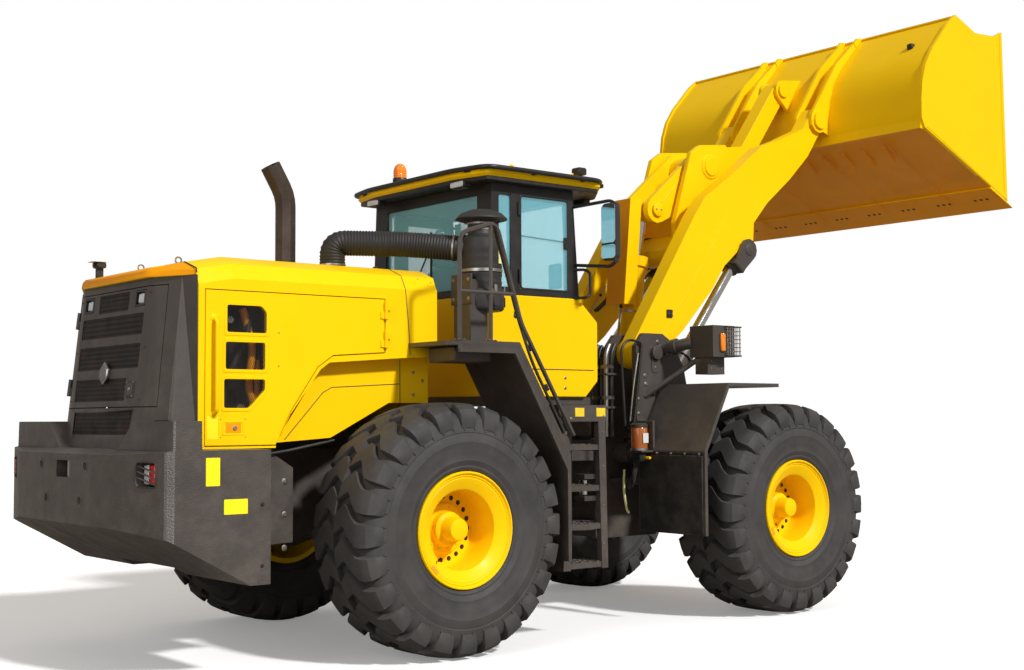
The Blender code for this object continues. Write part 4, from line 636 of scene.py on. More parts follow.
def dressed(node, slot, material, width=0.006, segments=2, pick=None, extra=(), corners=None):
    """A copy of a CAD node with eased edges and the real finish, standing for it.

    pick gives a face's material from its middle and normal; corners is (test, width) for edges
    that are rounded wider, the test taking both ends.
    """
    source = frame["nodes"][node]
    mesh = source.data.copy()
    mesh.materials.clear()
    names = [material, *extra]
    for name in names:
        mesh.materials.append(materials[name])
    bm = bmesh.new()
    bm.from_mesh(mesh)
    bmesh.ops.remove_doubles(bm, verts=bm.verts, dist=2e-5)
    bmesh.ops.dissolve_limit(bm, angle_limit=math.radians(1.2), verts=bm.verts, edges=bm.edges)
    back = SHIFT.inverted()
    if corners is not None:
        test, wide, steps = corners
        chosen = [e for e in bm.edges if test(back @ e.verts[0].co, back @ e.verts[1].co)]
        bmesh.ops.bevel(
            bm, geom=chosen, offset=wide, segments=steps, profile=0.5, affect="EDGES", clamp_overlap=True
        )
    for face in bm.faces:
        face.material_index = 0
        face.smooth = True
        if pick is not None:
            middle = back @ face.calc_center_median()
            face.material_index = names.index(pick(middle, face.normal) or material)
    bm.to_mesh(mesh)
    bm.free()
    mesh.set_sharp_from_angle(angle=math.radians(36))
    obj = bpy.data.objects.new(node + "_dressed", mesh)
    bpy.context.scene.collection.objects.link(obj)
    bevel = obj.modifiers.new("eased", "BEVEL")
    bevel.width = width
    bevel.segments = segments
    bevel.limit_method = "ANGLE"
    bevel.angle_limit = math.radians(37)
    bevel.harden_normals = True
    return mounted(obj, BODY_OF[node], (node,))


# Wheels

TYRE_RADIUS = 0.87
HALF_TRACK = 1.19
WHEELBASE = 3.45
LUGS = 24
RIM_HALF, DISH_DEPTH, VALVE_TURN = 0.31, 0.33, 3.9
# Half of a lug from the middle outward: base (y, radius), top (y, radius), centre and half width in pitches
LUG = (
    (0.000, 0.824, 0.000, 0.868, 0.10, 0.28),
    (0.050, 0.824, 0.050, 0.869, 0.26, 0.32),
    (0.095, 0.823, 0.095, 0.868, 0.40, 0.34),
    (0.120, 0.823, 0.120, 0.868, 0.36, 0.34),
    (0.175, 0.820, 0.177, 0.865, 0.08, 0.35),
    (0.225, 0.814, 0.232, 0.860, -0.14, 0.36),
    (0.265, 0.803, 0.278, 0.849, -0.18, 0.36),
    (0.297, 0.782, 0.316, 0.822, -0.19, 0.355),
    (0.312, 0.755, 0.333, 0.780, -0.19, 0.34),
    (0.321, 0.725, 0.3365, 0.735, -0.19, 0.32),
    (0.327, 0.695, 0.329, 0.695, -0.19, 0.30),
)
CARCASS = (
    (0.000, 0.826), (0.120, 0.825), (0.200, 0.819), (0.255, 0.807), (0.292, 0.784), (0.312, 0.750),
    (0.324, 0.705), (0.3305, 0.665), (0.3275, 0.660), (0.3285, 0.652), (0.3320, 0.646), (0.3325, 0.606),
    (0.3345, 0.600), (0.3325, 0.594), (0.3305, 0.560), (0.326, 0.520), (0.318, 0.485), (0.3205, 0.476),
    (0.318, 0.467), (0.309, 0.452), (0.304, 0.438), (0.307, 0.428), (0.303, 0.418), (0.290, 0.4035),
)


def tyre(name, x, side, body, turn):
    piece = Piece(name + "_rubber", "tyre")
    place = Matrix.Translation((x, side * HALF_TRACK, TYRE_RADIUS)) @ Matrix.Rotation(turn, 4, "Y")
    profile = [(r, y) for y, r in reversed(CARCASS)] + [(r, -y) for y, r in CARCASS[1:]]
    piece.lathe((0, 0, 0), (0, 1, 0), profile, 96, place)
    pitch = 2 * math.pi / LUGS
    for half in (-1, 1):
        for k in range(LUGS):
            sections = []
            for yb, rb, yt, rt, centre, wide in LUG:
                middle = (k + centre + (0.5 if half > 0 else 0.0)) * pitch
                w = wide * pitch
                yb2, rb2 = yb - (0.02 if yb > 0.29 else 0.0), rb - 0.008
                ym, rm = yb * 0.25 + yt * 0.75, rb * 0.25 + rt * 0.75
                ring = []
                for y, r, a in (
                    (yb2, rb2, -w * 1.08), (ym, rm, -w), (yt, rt, -w * 0.93), (yt, rt, 0.0),
                    (yt, rt, w * 0.93), (ym, rm, w), (yb2, rb2, w * 1.08),
                ):
                    angle = middle + a
                    ring.append(place @ Vector((r * math.sin(angle), half * y, r * math.cos(angle))))
                sections.append(ring)
            piece.loft(sections)
    # Moulded ribs between the lugs' feet
    for half in (-1, 1):
        for k in range(LUGS * 2):
            a = pitch * (k + 0.25) / 2
            spot = place @ Matrix.Rotation(a, 4, "Y")
            piece.box(-0.006, 0.006, half * 0.315, half * 0.3335, 0.675, 0.7, 0.002, spot)
    piece.done(body, (name,), sharp=30)


def rim(name, x, side, body, turn):
    piece = Piece(name + "_dish", "yellow")
    inner = Vector((x, side * (HALF_TRACK - RIM_HALF), TYRE_RADIUS))
    outer = Vector((x, side * (HALF_TRACK + RIM_HALF), TYRE_RADIUS))
    d = DISH_DEPTH
    profile = [
        (0, d - 0.05), (0.26, d - 0.05), (0.3, d - 0.1), (0.345, 0.03), (0.36, 0.0), (0.392, 0.0),
        (0.3995, 0.008), (0.3995, 0.612), (0.394, 0.6195), (0.386, 0.6195), (0.382, 0.612), (0.375, 0.602),
        (0.372, 0.606), (0.366, 0.606), (0.363, 0.601), (0.356, 0.598), (0.352, 0.6), (0.29, 0.575),
        (0.276, 0.565), (0.272, 0.55), (0.272, d + 0.06), (0.268, d + 0.02), (0.258, d), (0.18, d),
        (0.176, d + 0.022), (0.168, d + 0.03), (0.128, d + 0.034), (0.12, d + 0.044), (0.116, d + 0.085),
        (0.106, d + 0.095), (0.088, d + 0.1), (0.083, d + 0.108), (0.08, d + 0.185), (0.072, d + 0.203),
        (0.055, d + 0.2085), (0, d + 0.2095),
    ]
    piece.lathe(inner, outer, profile, 64)
    way = Vector((0, side, 0))
    middle = inner + way * d
    for a in circle(20, 0, turn):
        spot = middle + Vector((math.sin(a), 0, math.cos(a))) * 0.219
        piece.bolt(spot, way, 0.0115, True, "dark_bolt")
    for a in circle(12, 0.5, turn):
        spot = middle + way * 0.031 + Vector((math.sin(a), 0, math.cos(a))) * 0.148
        piece.bolt(spot, way, 0.009, False, "yellow")
    for a in circle(3, 0.2, turn):
        spot = middle + way * 0.09 + Vector((math.sin(a), 0, math.cos(a))) * 0.097
        piece.bolt(spot, way, 0.008, False, "yellow")
    # The lock ring's split, a darker orange block of painted shade, and the valve
    a = turn + VALVE_TURN
    spot = Matrix.Translation(outer) @ Matrix.Rotation(a, 4, "Y")
    piece.use("yellow_deep_painted_shade").box(
        -0.035, 0.035, -side * 0.012, -side * 0.018 + side * 0.002, 0.345, 0.372, 0.002, spot
    )
    piece.use("dark_bolt")
    piece.tube(
        [spot @ Vector((0.02, -side * 0.03, 0.285)), spot @ Vector((0.02, -side * 0.012, 0.3))], 0.006, 8
    )
    piece.done(body, (name,), sharp=32)


WHEEL_TURN = {"rear": 0.05, "front": 0.31}
for end, x in (("rear", 0.0), ("front", WHEELBASE)):
    for side_name, side in SIDES.items():
        body = f"{end}_{side_name}_wheel"
        turn = WHEEL_TURN[end]
        tyre(f"tyre_{end}_{side_name}", x, side, body, turn)
        rim(f"rim_{end}_{side_name}", x, side, body, turn)


# CAD shapes that stay as they are, with eased edges and their finishes

def vertical(a, b):
    return abs(a.x - b.x) < 0.002 and abs(a.y - b.y) < 0.002


def cowl_corner(a, b):
    return vertical(a, b) and abs(a.z - b.z) > 0.3 and abs(a.y) > 0.7 and a.x < -1.8


def weight_corner(a, b):
    return vertical(a, b) and abs(a.y) > 1.1 and a.x < -1.8


# The counterweight's rear corner facets: real cast grain with painted light, a lighter tone
def weight_paint(middle, normal):
    if abs(middle.y) > 1.2 and normal.x < -0.12 and abs(normal.y) > 0.4:
        return "cast_rough"
    return None


# Faces under the hood's ledges get the oranger yellow: painted shade
def hood_paint(middle, normal):
    return "yellow_shade" if normal.z < -0.5 and middle.z > 1.46 else None


# Rear-facing faces of the cap get the oranger yellow: painted shade
def cap_paint(middle, normal):
    return "yellow_shade" if normal.x < -0.45 else None


def in_recess(middle, normal):
    """The floors of the grille's rows, just behind the leaning face, which get near-black painted shade."""
    behind = 0.005 < middle.x - face_x(middle.z) < 0.03
    return "depths" if normal.x < -0.9 and behind and abs(middle.y) < 0.52 else None


FACE_FOOT, FACE_HEAD = (-1.98, 1.4403), (-1.862, 2.555)


def face_x(z):
    return FACE_FOOT[0] + (FACE_HEAD[0] - FACE_FOOT[0]) * (z - FACE_FOOT[1]) / (FACE_HEAD[1] - FACE_FOOT[1])


UP_FACE = Vector((FACE_HEAD[0] - FACE_FOOT[0], 0, FACE_HEAD[1] - FACE_FOOT[1])).normalized()
OUT_FACE = Vector((-UP_FACE.z, 0, UP_FACE.x))


def on_face(y, z, out=0.0):
    """A frame on the leaning rear face: x to the machine's right, y up the face, z outward."""
    spot = Matrix((Vector((0, -1, 0)), UP_FACE, OUT_FACE)).transposed().to_4x4()
    return Matrix.Translation(Vector((face_x(z), y, z)) + OUT_FACE * out) @ spot


def on_side(x, z, side, y):
    """A frame on an upright side face: x along the machine, y up, z outward."""
    spot = Matrix((Vector((-side, 0, 0)), Vector((0, 0, 1)), Vector((0, side, 0)))).transposed().to_4x4()
    return Matrix.Translation(Vector((x, side * y, z))) @ spot


# Downward faces of the bucket get the oranger yellow: painted shade
def bucket_paint(middle, normal):
    if normal.z < -0.55 and middle.z < 4.45 and abs(middle.y) < 1.64:
        return "yellow_shade"
    return None


TILT_EYE, LIFT_EYE = Vector(pin_at(TILT_PIN, 0)), Vector(pin_at(LIFT_PIN, 0))
GUARD_FOOT, GUARD_HEAD = Vector((2.79, 0, 2.63)), Vector((2.88, 0, 3.58))


def tilt_rod_paint(middle, normal):
    """Yellow on the eye and the guard, chrome on the rod between them; the guard's rear face and the faces
    just beside the rod get the oranger yellow of painted shade.
    """
    flat = Vector((middle.x, 0, middle.z))
    way = (GUARD_HEAD - GUARD_FOOT).normalized()
    off = (flat - GUARD_FOOT - way * (flat - GUARD_FOOT).dot(way)).length
    if off < 0.05 and middle.x < 2.93:
        return "yellow_shade" if normal.x < -0.5 else "yellow"
    if (flat - TILT_EYE).length < 0.16 or abs(middle.y) > 0.09:
        return "yellow"
    return "yellow_shade" if abs(middle.y) > 0.05 else None


def lift_rod_paint(middle, normal):
    return "grey" if (Vector((middle.x, 0, middle.z)) - LIFT_EYE).length < 0.27 else None


# Node, slot, material, width and steps of the eased edges; then, where it has them, the rule that
# paints its faces, the materials of that rule and the corners that are rounded wider
DRESSED = [
    (
        "counterweight", "grey_paint", "cast", 0.012, 3, weight_paint, ("cast_rough",),
        (weight_corner, 0.06, 5)
    ),
    ("cowl", "grey_paint", "grey", 0.008, 3, in_recess, ("depths",), (cowl_corner, 0.045, 6)),
    ("hood", "yellow_paint", "yellow", 0.02, 4, hood_paint, ("yellow_shade",)),
    ("hood_cap", "yellow_paint", "yellow", 0.01, 3, cap_paint, ("yellow_shade",)),
    ("grille_door", "grey_paint", "grey", 0.006, 3, in_recess, ("depths",), (cowl_corner, 0.02, 4)),
    ("cab_body", "yellow_paint", "yellow", 0.012, 3),
    ("cab_frame", "black_paint", "black", 0.006, 2),
    ("rear_frame", "grey_paint", "grey", 0.005, 2),
    ("front_frame", "grey_paint", "grey", 0.006, 2),
    ("engine_block", "grey_paint", "engine", 0.02, 3),
    ("transmission", "grey_paint", "engine", 0.015, 2),
    ("rear_axle", "grey_paint", "cast", 0.008, 2),
    ("front_axle", "grey_paint", "cast", 0.008, 2),
    ("propshaft_centre", "black_paint", "black", 0.004, 2),
    ("propshaft_front", "black_paint", "black", 0.004, 2),
    ("boom", "yellow_paint", "yellow", 0.007, 3),
    ("bellcrank", "yellow_paint", "yellow", 0.007, 3),
    ("bucket_link", "yellow_paint", "yellow", 0.012, 3),
    ("bucket", "yellow_paint", "yellow", 0.005, 2, bucket_paint, ("yellow_shade",)),
    ("exhaust_stack", "black_paint", "exhaust", 0.004, 2),
]
for side_name in SIDES:
    DRESSED += [
        (f"platform_{side_name}", "grey_paint", "grey", 0.005, 2),
        (f"front_fender_{side_name}", "grey_paint", "grey", 0.008, 3),
        (f"front_tower_{side_name}", "grey_paint", "grey", 0.008, 3),
        (f"lift_cylinder_barrel_{side_name}", "black_paint", "grey", 0.006, 2),
        (f"steer_cylinder_barrel_{side_name}", "black_paint", "grey", 0.006, 2),
    ]
for pin in ("lever_pin", "link_pin", "bucket_pin_left", "bucket_pin_right"):
    DRESSED.append((pin, "steel", "yellow", 0.004, 2))
for pane in ("window_right", "window_rear", "windscreen"):
    DRESSED.append((pane, "glass", "glass", 0.002, 1))
DRESSED += [
    ("tilt_cylinder_barrel", "yellow_paint", "yellow", 0.006, 2),
    ("tilt_cylinder_rod", "chrome", "chrome", 0.004, 2, tilt_rod_paint, ("yellow", "yellow_shade")),
]
for side_name in SIDES:
    DRESSED += [
        (f"lift_cylinder_rod_{side_name}", "chrome", "chrome", 0.004, 2, lift_rod_paint, ("grey",)),
        (f"steer_cylinder_rod_{side_name}", "chrome", "chrome", 0.003, 2),
    ]
for row in DRESSED:
    dressed(*row)


# Rear end: pierced sheets in the grille's rows, lamps, latch, blank badge, tail lamps

GRILLE_ROWS = (
    (2.36, 2.485, -0.245, 0.245), (2.19, 2.33, -0.5, 0.5), (1.97, 2.13, -0.5, 0.5),
    (1.755, 1.905, -0.335, 0.5)
)
LOWER_ROW = (1.53, 1.68, -0.47, 0.47)
LEAN = UP_FACE.z


def pierced(name, rows, body):
    sheets = Piece(name, "black")
    for z0, z1, y0, y1 in rows:
        place = on_face((y0 + y1) / 2, (z0 + z1) / 2, -0.004)
        sheets.mesh_sheet(place, y1 - y0 - 0.004, (z1 - z0) / LEAN - 0.004, 0.032, 0.36, 0.003)
    sheets.done(body, recalc=False)


pierced("grille_sheets", GRILLE_ROWS, "grille_door")
pierced("cowl_sheet", (LOWER_ROW,), "rear_body")

fittings = Piece("grille_fittings", "black")
for side in (-1, 1):
    place = on_face(side * 0.42, 2.43)
    frame_out = oblong(-0.077, 0.077, -0.053, 0.053, 0.012)
    frame_in = oblong(-0.062, 0.062, -0.04, 0.04, 0.01)
    fittings.use("black").plate(frame_out, "z", -0.019, 0.003, 0.002, [frame_in], place)
    fittings.use("plastic").box(-0.06, 0.06, -0.038, 0.038, -0.019, -0.015, 0.002, place)
    fittings.use("lens_clear").box(-0.04, 0.052, -0.03, 0.03, -0.015, -0.006, 0.004, place)
    fittings.use("chrome").box(-0.044, 0.056, -0.034, 0.034, -0.0155, -0.012, 0.002, place)
# Blank badge: a long hexagon with a pale rim
place = on_face(0.0, 1.943)
badge = [(-0.062, -0.03), (0.0, -0.082), (0.062, -0.03), (0.062, 0.03), (0.0, 0.082), (-0.062, 0.03)]
fittings.use("steel").plate(soft_outline(badge, 0.016, 3), "z", 0.0, 0.024, 0.006, (), place)
fittings.use("plastic_grey").plate(
    soft_outline(grown(badge, -0.01), 0.014, 3), "z", 0.02, 0.028, 0.003, (), place
)
# Latch with its lock and four bolts
place = on_face(-0.418, 1.828)
latch = oblong(-0.055, 0.055, -0.055, 0.055, 0.01)
fittings.use("black").plate(latch, "z", -0.002, 0.006, 0.002, (), place)
fittings.use("grey").box(-0.042, 0.042, -0.042, 0.042, 0.004, 0.01, 0.003, place)
fittings.use("steel").lathe(
    place @ Vector((0, 0, 0.008)), place @ Vector((0, 0, 1)), button(0.014, 0.005, 0.01, 0.007, 0.006), 16
)
for u in (-0.046, 0.046):
    for v in (-0.046, 0.046):
        fittings.bolt(place @ Vector((u, v, 0.006)), OUT_FACE, 0.005, False)
for y in (-0.558, 0.558):
    for z in (1.76, 2.1, 2.46):
        fittings.bolt(on_face(y, z) @ Vector((0, 0, -0.004)), OUT_FACE, 0.006, False, "dark_bolt")
fittings.done("grille_door")


def facet_x(y):
    return -2.22 + max(0.0, abs(y) - 0.8) * 0.13 / 0.47


weight = Piece("weight_fittings", "black")
for side in (-1, 1):
    ring = [
        (1.03, 1.22), (1.18, 1.22), (1.195, 1.24), (1.195, 1.35), (1.18, 1.37), (1.03, 1.37), (1.015, 1.35),
        (1.015, 1.24)
    ]
    loop = [(facet_x(y) - 0.001, side * y, z) for y, z in ring]
    weight.use("black").tube(loop, 0.005, 8, True)
    weight.use("plastic").box(-2.1, -2.031, side * 1.02, side * 1.19, 1.226, 1.364, 0.006)
    weight.use("lens_red").box(-2.118, -2.098, side * 1.1, side * 1.184, 1.236, 1.354, 0.008)
    weight.use("lens_clear").box(-2.114, -2.098, side * 1.026, side * 1.094, 1.236, 1.354, 0.008)
    for k in range(3):
        z = 1.35 - 0.036 * k
        weight.use("cast").tube(
            [(facet_x(1.02) + 0.006, side * 1.016, z), (facet_x(1.19) + 0.004, side * 1.194, z - 0.045)],
            0.006, 8
        )
    weight.bolts(((-1.45, 1.1), (-1.45, 0.72)), side * 1.3005, side, 0.012, False, "dark_bolt")
    weight.use("plate_yellow")
    weight.plate(oblong(-1.838, -1.743, 1.222, 1.395, 0.006), "y", side * 1.2995, side * 1.3025, 0.001)
    weight.plate(oblong(-1.715, -1.552, 1.045, 1.138, 0.006), "y", side * 1.2995, side * 1.3025, 0.001)
    # Threaded sleeves in the four holes
    for y, z in ((0.375, 1.333), (0.285, 1.11)):
        weight.use("cast_rough").lathe(
            (-2.223, side * y, z), (-1, side * y, z), band(0.029, 0.036, 0.001, 0.006, 0.02), 20
        )
weight.use("steel").rod((-2.165, 0, 1.25), (-2.165, 0, 1.372), 0.022, 16)
weight.use("cast").box(-2.1, -2.098, -0.1, 0.1, 1.26, 1.36, 0.001)
weight.done("rear_body")

# Rear camera on the cap, lifting eyes, bolts and seams of the hood
hood_bits = Piece("hood_fittings", "black")
hood_bits.box(-1.86, -1.81, 0.34, 0.37, 2.6, 2.7, 0.004)
hood_bits.box(-1.87, -1.8, 0.31, 0.4, 2.695, 2.735, 0.008)
hood_bits.lathe((-1.868, 0.355, 2.715), (-2.0, 0.355, 2.7), button(0.018, 0.012, 0.012, 0.014, 0.012), 16)
hood_bits.use("plate_white").box(-1.9, -1.8, 0.3, 0.41, 2.736, 2.741, 0.002)
for x, y, z in ((-1.55, -0.3, 2.686), (-1.55, 0.3, 2.686), (-0.05, -0.45, 2.7), (-0.05, 0.45, 2.7)):
    foot = (z - 0.004, button(0.02, 0.006, 0.008, 0.01))
    lifting_eye(hood_bits.use("zinc"), x, y, z + 0.026, 0.022, 0.006, foot, 12)
for side in (-1, 1):
    # The black seam round the front of the hood's side and across its roof
    hood_bits.use("rubber")
    hood_bits.tube(
        [
            (-0.085, side * 0.9495, 2.075), (-0.1, side * 0.9495, 2.3), (-0.125, side * 0.9495, 2.54),
            (-0.13, side * 0.899, 2.641), (-0.13, side * 0.748, 2.7005)
        ],
        0.0035, 6
    )
    hood_bits.tube(in_plane(side * COWL_STEP, [(-0.095, 2.05), (-0.095, 1.87), (-0.095, 1.7)]), 0.003, 6)
    hood_bits.tube(
        in_plane(side * COWL_STEP, [(-0.095, 1.875), (-0.66, 1.845), (-0.73, 1.81), (-1.03, 1.49)]), 0.003, 6
    )
    hood_bits.bolts(((0.02, 1.96), (0.02, 1.8), (0.1, 1.9)), side * COWL_STEP, side, 0.008, True)
    hood_bits.bolts(
        ((-1.14, 2.2), (-1.14, 1.98), (-0.02, 2.62), (0.09, 2.6)), side * (HOOD_SIDE + 0.0002), side, 0.005,
        False, "zinc"
    )
hood_bits.use("rubber").tube([(-0.13, -0.75, 2.7005), (-0.13, 0.75, 2.7005)], 0.0035, 6)
hood_bits.use("rubber").tube(
    [
        (-1.7195, -0.917, 2.57), (-1.7195, -0.912, 2.598), (-1.7195, -0.75, 2.65), (-1.7195, 0.75, 2.65),
        (-1.7195, 0.912, 2.598), (-1.7195, 0.917, 2.57)
    ],
    0.005, 6
)
hood_bits.done("rear_body")

WINDOWS = (
    [(-1.52, 2.19), (-1.23, 2.19), (-1.23, 2.33), (-1.27, 2.37), (-1.52, 2.37)],
    [(-1.53, 1.95), (-1.24, 1.95), (-1.24, 2.13), (-1.53, 2.13)],
    [(-1.54, 1.7), (-1.36, 1.7), (-1.24, 1.82), (-1.24, 1.89), (-1.54, 1.89)],
)


DOOR_OUTLINE = [
    (-1.67, 1.4603), (-1.16, 1.4603), (-1.05, 1.68), (-0.84, 1.98), (-0.72, 2.06), (-0.3, 2.09), (-0.3, 2.46),
    (-1.67, 2.46)
]

for side_name, side in SIDES.items():
    door = Piece(f"hood_door_{side_name}_dressed", "yellow")
    door.plate(
        DOOR_OUTLINE, "y", side * 0.915, side * 0.95, 0.003,
        [soft_outline(window, 0.016) for window in WINDOWS]
    )
    y = side * 0.995
    door.pipe(
        [(-1.61, side * 0.94, 1.66), (-1.61, y, 1.68), (-1.61, y, 2.26), (-1.61, side * 0.94, 2.28)], 0.04,
        0.014, 14
    )
    for z in (2.18, 2.38):
        door.rod((-0.297, side * 0.965, z - 0.06), (-0.297, side * 0.965, z - 0.0003), 0.014, 16)
        door.box(-0.337, -0.297, side * 0.943, side * 0.96, z - 0.056, z - 0.004, 0.002)
    for window in WINDOWS:
        surround = soft_outline(grown(window, 0.02), 0.022)
        door.use("yellow").plate(
            surround, "y", side * 0.949, side * 0.9535, 0.002, [soft_outline(grown(window, -0.002), 0.016)]
        )
        xs, zs = [p[0] for p in window], [p[1] for p in window]
        mx, mz = (min(xs) + max(xs)) / 2, (min(zs) + max(zs)) / 2
        place = on_side(mx, mz, side, 0.9455)
        wide, high = max(xs) - min(xs), max(zs) - min(zs)
        shrunk = [((x - mx) * -side, z - mz) for x, z in window]
        door.use("black").mesh_sheet(place, wide, high, 0.016, 0.4, 0.0015, shrunk)
    # Latch plate in its shallow frame, and a blank plate
    latch = [(-1.551, 1.527), (-1.393, 1.527), (-1.393, 1.619), (-1.551, 1.619)]
    door.use("yellow").plate(
        soft_outline(latch, 0.008), "y", side * 0.949, side * 0.953, 0.0015,
        [soft_outline(grown(latch, -0.012), 0.006)]
    )
    # The latch's sunken middle in the oranger yellow: painted shade
    door.use("yellow_shade").box(-1.525, -1.415, side * 0.949, side * 0.9515, 1.541, 1.605, 0.002)
    door.use("steel").sideways(
        (-1.46, side * 0.95, 1.573), side, button(0.015, 0.005, 0.011, 0.008, 0.007), 16
    )
    for x in (-1.56, -1.385):
        for z in (1.515, 1.63):
            door.bolt((x, side * (HOOD_SIDE + 0.0002), z), (0, side, 0), 0.004, False)
    door.use("plate_yellow").plate(
        oblong(-1.656, -1.58, 1.5, 1.65, 0.005), "y", side * 0.949, side * 0.9515, 0.0008
    )
    for z in (1.66, 2.28):
        door.use("yellow").sideways((-1.61, side * 0.949, z), side, button(0.026, 0.004, 0.016, 0.01), 16)
    door.done(f"hood_door_{side_name}", (f"hood_door_{side_name}",))

# What shows through the windows: the cooling pack with pipes before it
bay = Piece("engine_bay", "radiator")
bay.box(-1.6, -1.16, -0.76, 0.76, 1.5, 2.44, 0.02)
for side in (-1, 1):
    bay.use("black").box(-1.62, -1.14, side * 0.77, side * 0.8, 1.5, 1.56, 0.006)
    bay.box(-1.62, -1.14, side * 0.77, side * 0.8, 2.4, 2.44, 0.006)
    # Pipes in the oranger yellow: painted shade for their place inside the hood
    bay.use("yellow_shade").pipe(
        in_plane(side * 0.82, [(-1.2, 1.6), (-1.3, 1.84), (-1.26, 2.1), (-1.34, 2.36)]), 0.08, 0.026, 12
    )
    bay.pipe(
        [(-1.42, side * 0.8, 1.58), (-1.24, side * 0.84, 1.72), (-1.22, side * 0.8, 2.02)], 0.06, 0.02, 12
    )
    bay.use("rubber").pipe(
        [
            (-1.5, side * 0.8, 1.56), (-1.46, side * 0.84, 1.9), (-1.3, side * 0.84, 2.22),
            (-1.3, side * 0.8, 2.38)
        ],
        0.08, 0.022, 12
    )
    bay.use("steel").rod((-1.36, side * 0.8, 1.7), (-1.36, side * 0.85, 1.7), 0.03, 16)
    bay.rod((-1.44, side * 0.8, 2.28), (-1.44, side * 0.85, 2.28), 0.025, 16)
bay.done("rear_body")


# Exhaust clamp, ribbed intake hose, air cleaner

EXHAUST_X = -0.55
pipe = Piece("exhaust_fittings", "steel")
pipe.upright(
    (EXHAUST_X, 0, 2.76), [(0.0775, 0), (0.0835, 0.002), (0.0845, 0.012), (0.0835, 0.022), (0.0775, 0.024)],
    32
)
pipe.use("exhaust").upright(
    (EXHAUST_X, 0, 2.7), [(0.076, 0.001), (0.12, 0.001), (0.12, 0.006), (0.085, 0.014), (0.076, 0.016)], 32
)
pipe.bolt((EXHAUST_X, -0.088, 2.772), (0, -1, 0), 0.008)
pipe.done("rear_body")

hose_path = rounded(
    [(-0.42, -0.45, 2.7005), (-0.42, -0.45, 2.9), (0.05, -0.7, 2.9), (0.335, -0.975, 2.862)], 0.17, 8
)
hose = Piece("intake_hose_ribbed", "rubber")
hose.tube(hose_path, 0.088, 28, False, 0.006, 0.022)
hose.use("steel")
for a, b in (
    (Vector((-0.42, -0.45, 2.73)), Vector((-0.42, -0.45, 3.0))),
    (Vector((0.3, -0.941, 2.866)), Vector((0.335, -0.975, 2.862)))
):
    hose.lathe(a, b, band(0.09, 0.0965, 0.001, 0.014), 36)
hose.use("rubber").upright(
    (-0.42, -0.45, 2.7003), [(0.08, 0), (0.118, 0), (0.118, 0.008), (0.1, 0.018), (0.08, 0.02)], 36
)
hose.done("rear_body", ("intake_hose",))

AIR = Vector((0.44, -1.1, 0))
AIR_FOOT = 2.4


def on_air(z):
    """Start and end of a turned shape that stands on the air cleaner's axis."""
    return AIR + Vector((0, 0, z)), AIR + Vector((0, 0, 9))


cleaner = Piece("air_cleaner_dressed", "plastic")
canister = [
    (0, 2.4), (0.15, 2.4), (0.162, 2.412), (0.165, 2.43), (0.165, 2.545), (0.16, 2.556), (0.146, 2.56),
    (0.146, 2.59)
]
for k in range(5):
    z = 2.6 + 0.06 * k
    canister += [(0.15, z), (0.15, z + 0.01), (0.1455, z + 0.014), (0.1455, z + 0.04)]
canister += [(0.142, 2.925), (0.104, 2.955), (0.1, 2.962), (0.1, 3.055)]
canister += [
    (0.175, 3.06), (0.19, 3.066), (0.189, 3.074), (0.15, 3.11), (0.085, 3.136), (0.03, 3.1445), (0, 3.145)
]
cleaner.lathe(*on_air(AIR_FOOT), [(r, z - AIR_FOOT) for r, z in canister], 48)
cleaner.use("steel").lathe(*on_air(2.985), [(0.099, 0), (0.103, 0.001), (0.103, 0.014), (0.099, 0.015)], 36)
cleaner.lathe(*on_air(3.03), [(0.099, 0), (0.103, 0.001), (0.103, 0.012), (0.099, 0.013)], 36)
cleaner.use("steel").lathe(*on_air(2.68), [(0.149, 0), (0.1535, 0.001), (0.1535, 0.022), (0.149, 0.023)], 48)
# The mushroom's screen
for a in circle(24):
    foot = AIR + Vector((0.118 * math.cos(a), 0.118 * math.sin(a), 3.04))
    cleaner.use("plastic").rod(foot, foot + Vector((0.02 * math.cos(a), 0.02 * math.sin(a), 0.025)), 0.004, 6)
# Clips of the bottom cup, dust valve, blank pale plate
for a in circle(6, 0.5):
    spot = Matrix.Translation(AIR) @ Matrix.Rotation(a, 4, "Z")
    cleaner.use("zinc").box(0.16, 0.172, -0.012, 0.012, 2.52, 2.585, 0.003, spot)
    cleaner.use("plastic").box(0.1645, 0.17, -0.03, 0.03, 2.43, 2.5, 0.003, spot)
spot = Matrix.Translation(AIR) @ Matrix.Rotation(math.radians(-52), 4, "Z")
for k in range(-4, 5):
    here = spot @ Matrix.Rotation(k * 0.075, 4, "Z")
    cleaner.use("label").box(0.1465, 0.1545, -0.006, 0.006, 2.74, 2.9, 0.0005, here)
cleaner.use("grey").box(0.26, 0.42, -1.2, -1.0, DECK_TOP + 0.0005, 2.62, 0.006)
cleaner.box(0.252, 0.268, -1.22, -0.98, 2.44, 2.66, 0.004)
for y in (-1.19, -1.01):
    for z in (2.48, 2.62):
        cleaner.bolt((0.252, y, z), (-1, 0, 0), 0.01)
for x in (0.29, 0.39):
    for y in (-1.225, -0.975):
        cleaner.use("grey").box(x - 0.02, x + 0.02, y - 0.03, y + 0.03, DECK_TOP + 0.0005, 2.168, 0.002)
        cleaner.bolt((x, y, 2.168), (0, 0, 1), 0.009)
# Elbow from the hose into the canister
cleaner.use("plastic").lathe(
    (0.345, -0.985, 2.86), tuple(AIR + Vector((0, 0, 2.85))),
    [(0, 0.005), (0.1, 0.005), (0.104, 0.012), (0.104, 0.03), (0.096, 0.04), (0.088, 0.1), (0, 0.1)], 32
)
cleaner.done("rear_body", ("air_cleaner",))


# Cab: roof with rail, lamps and beacon; gaskets, glass, wipers, interior

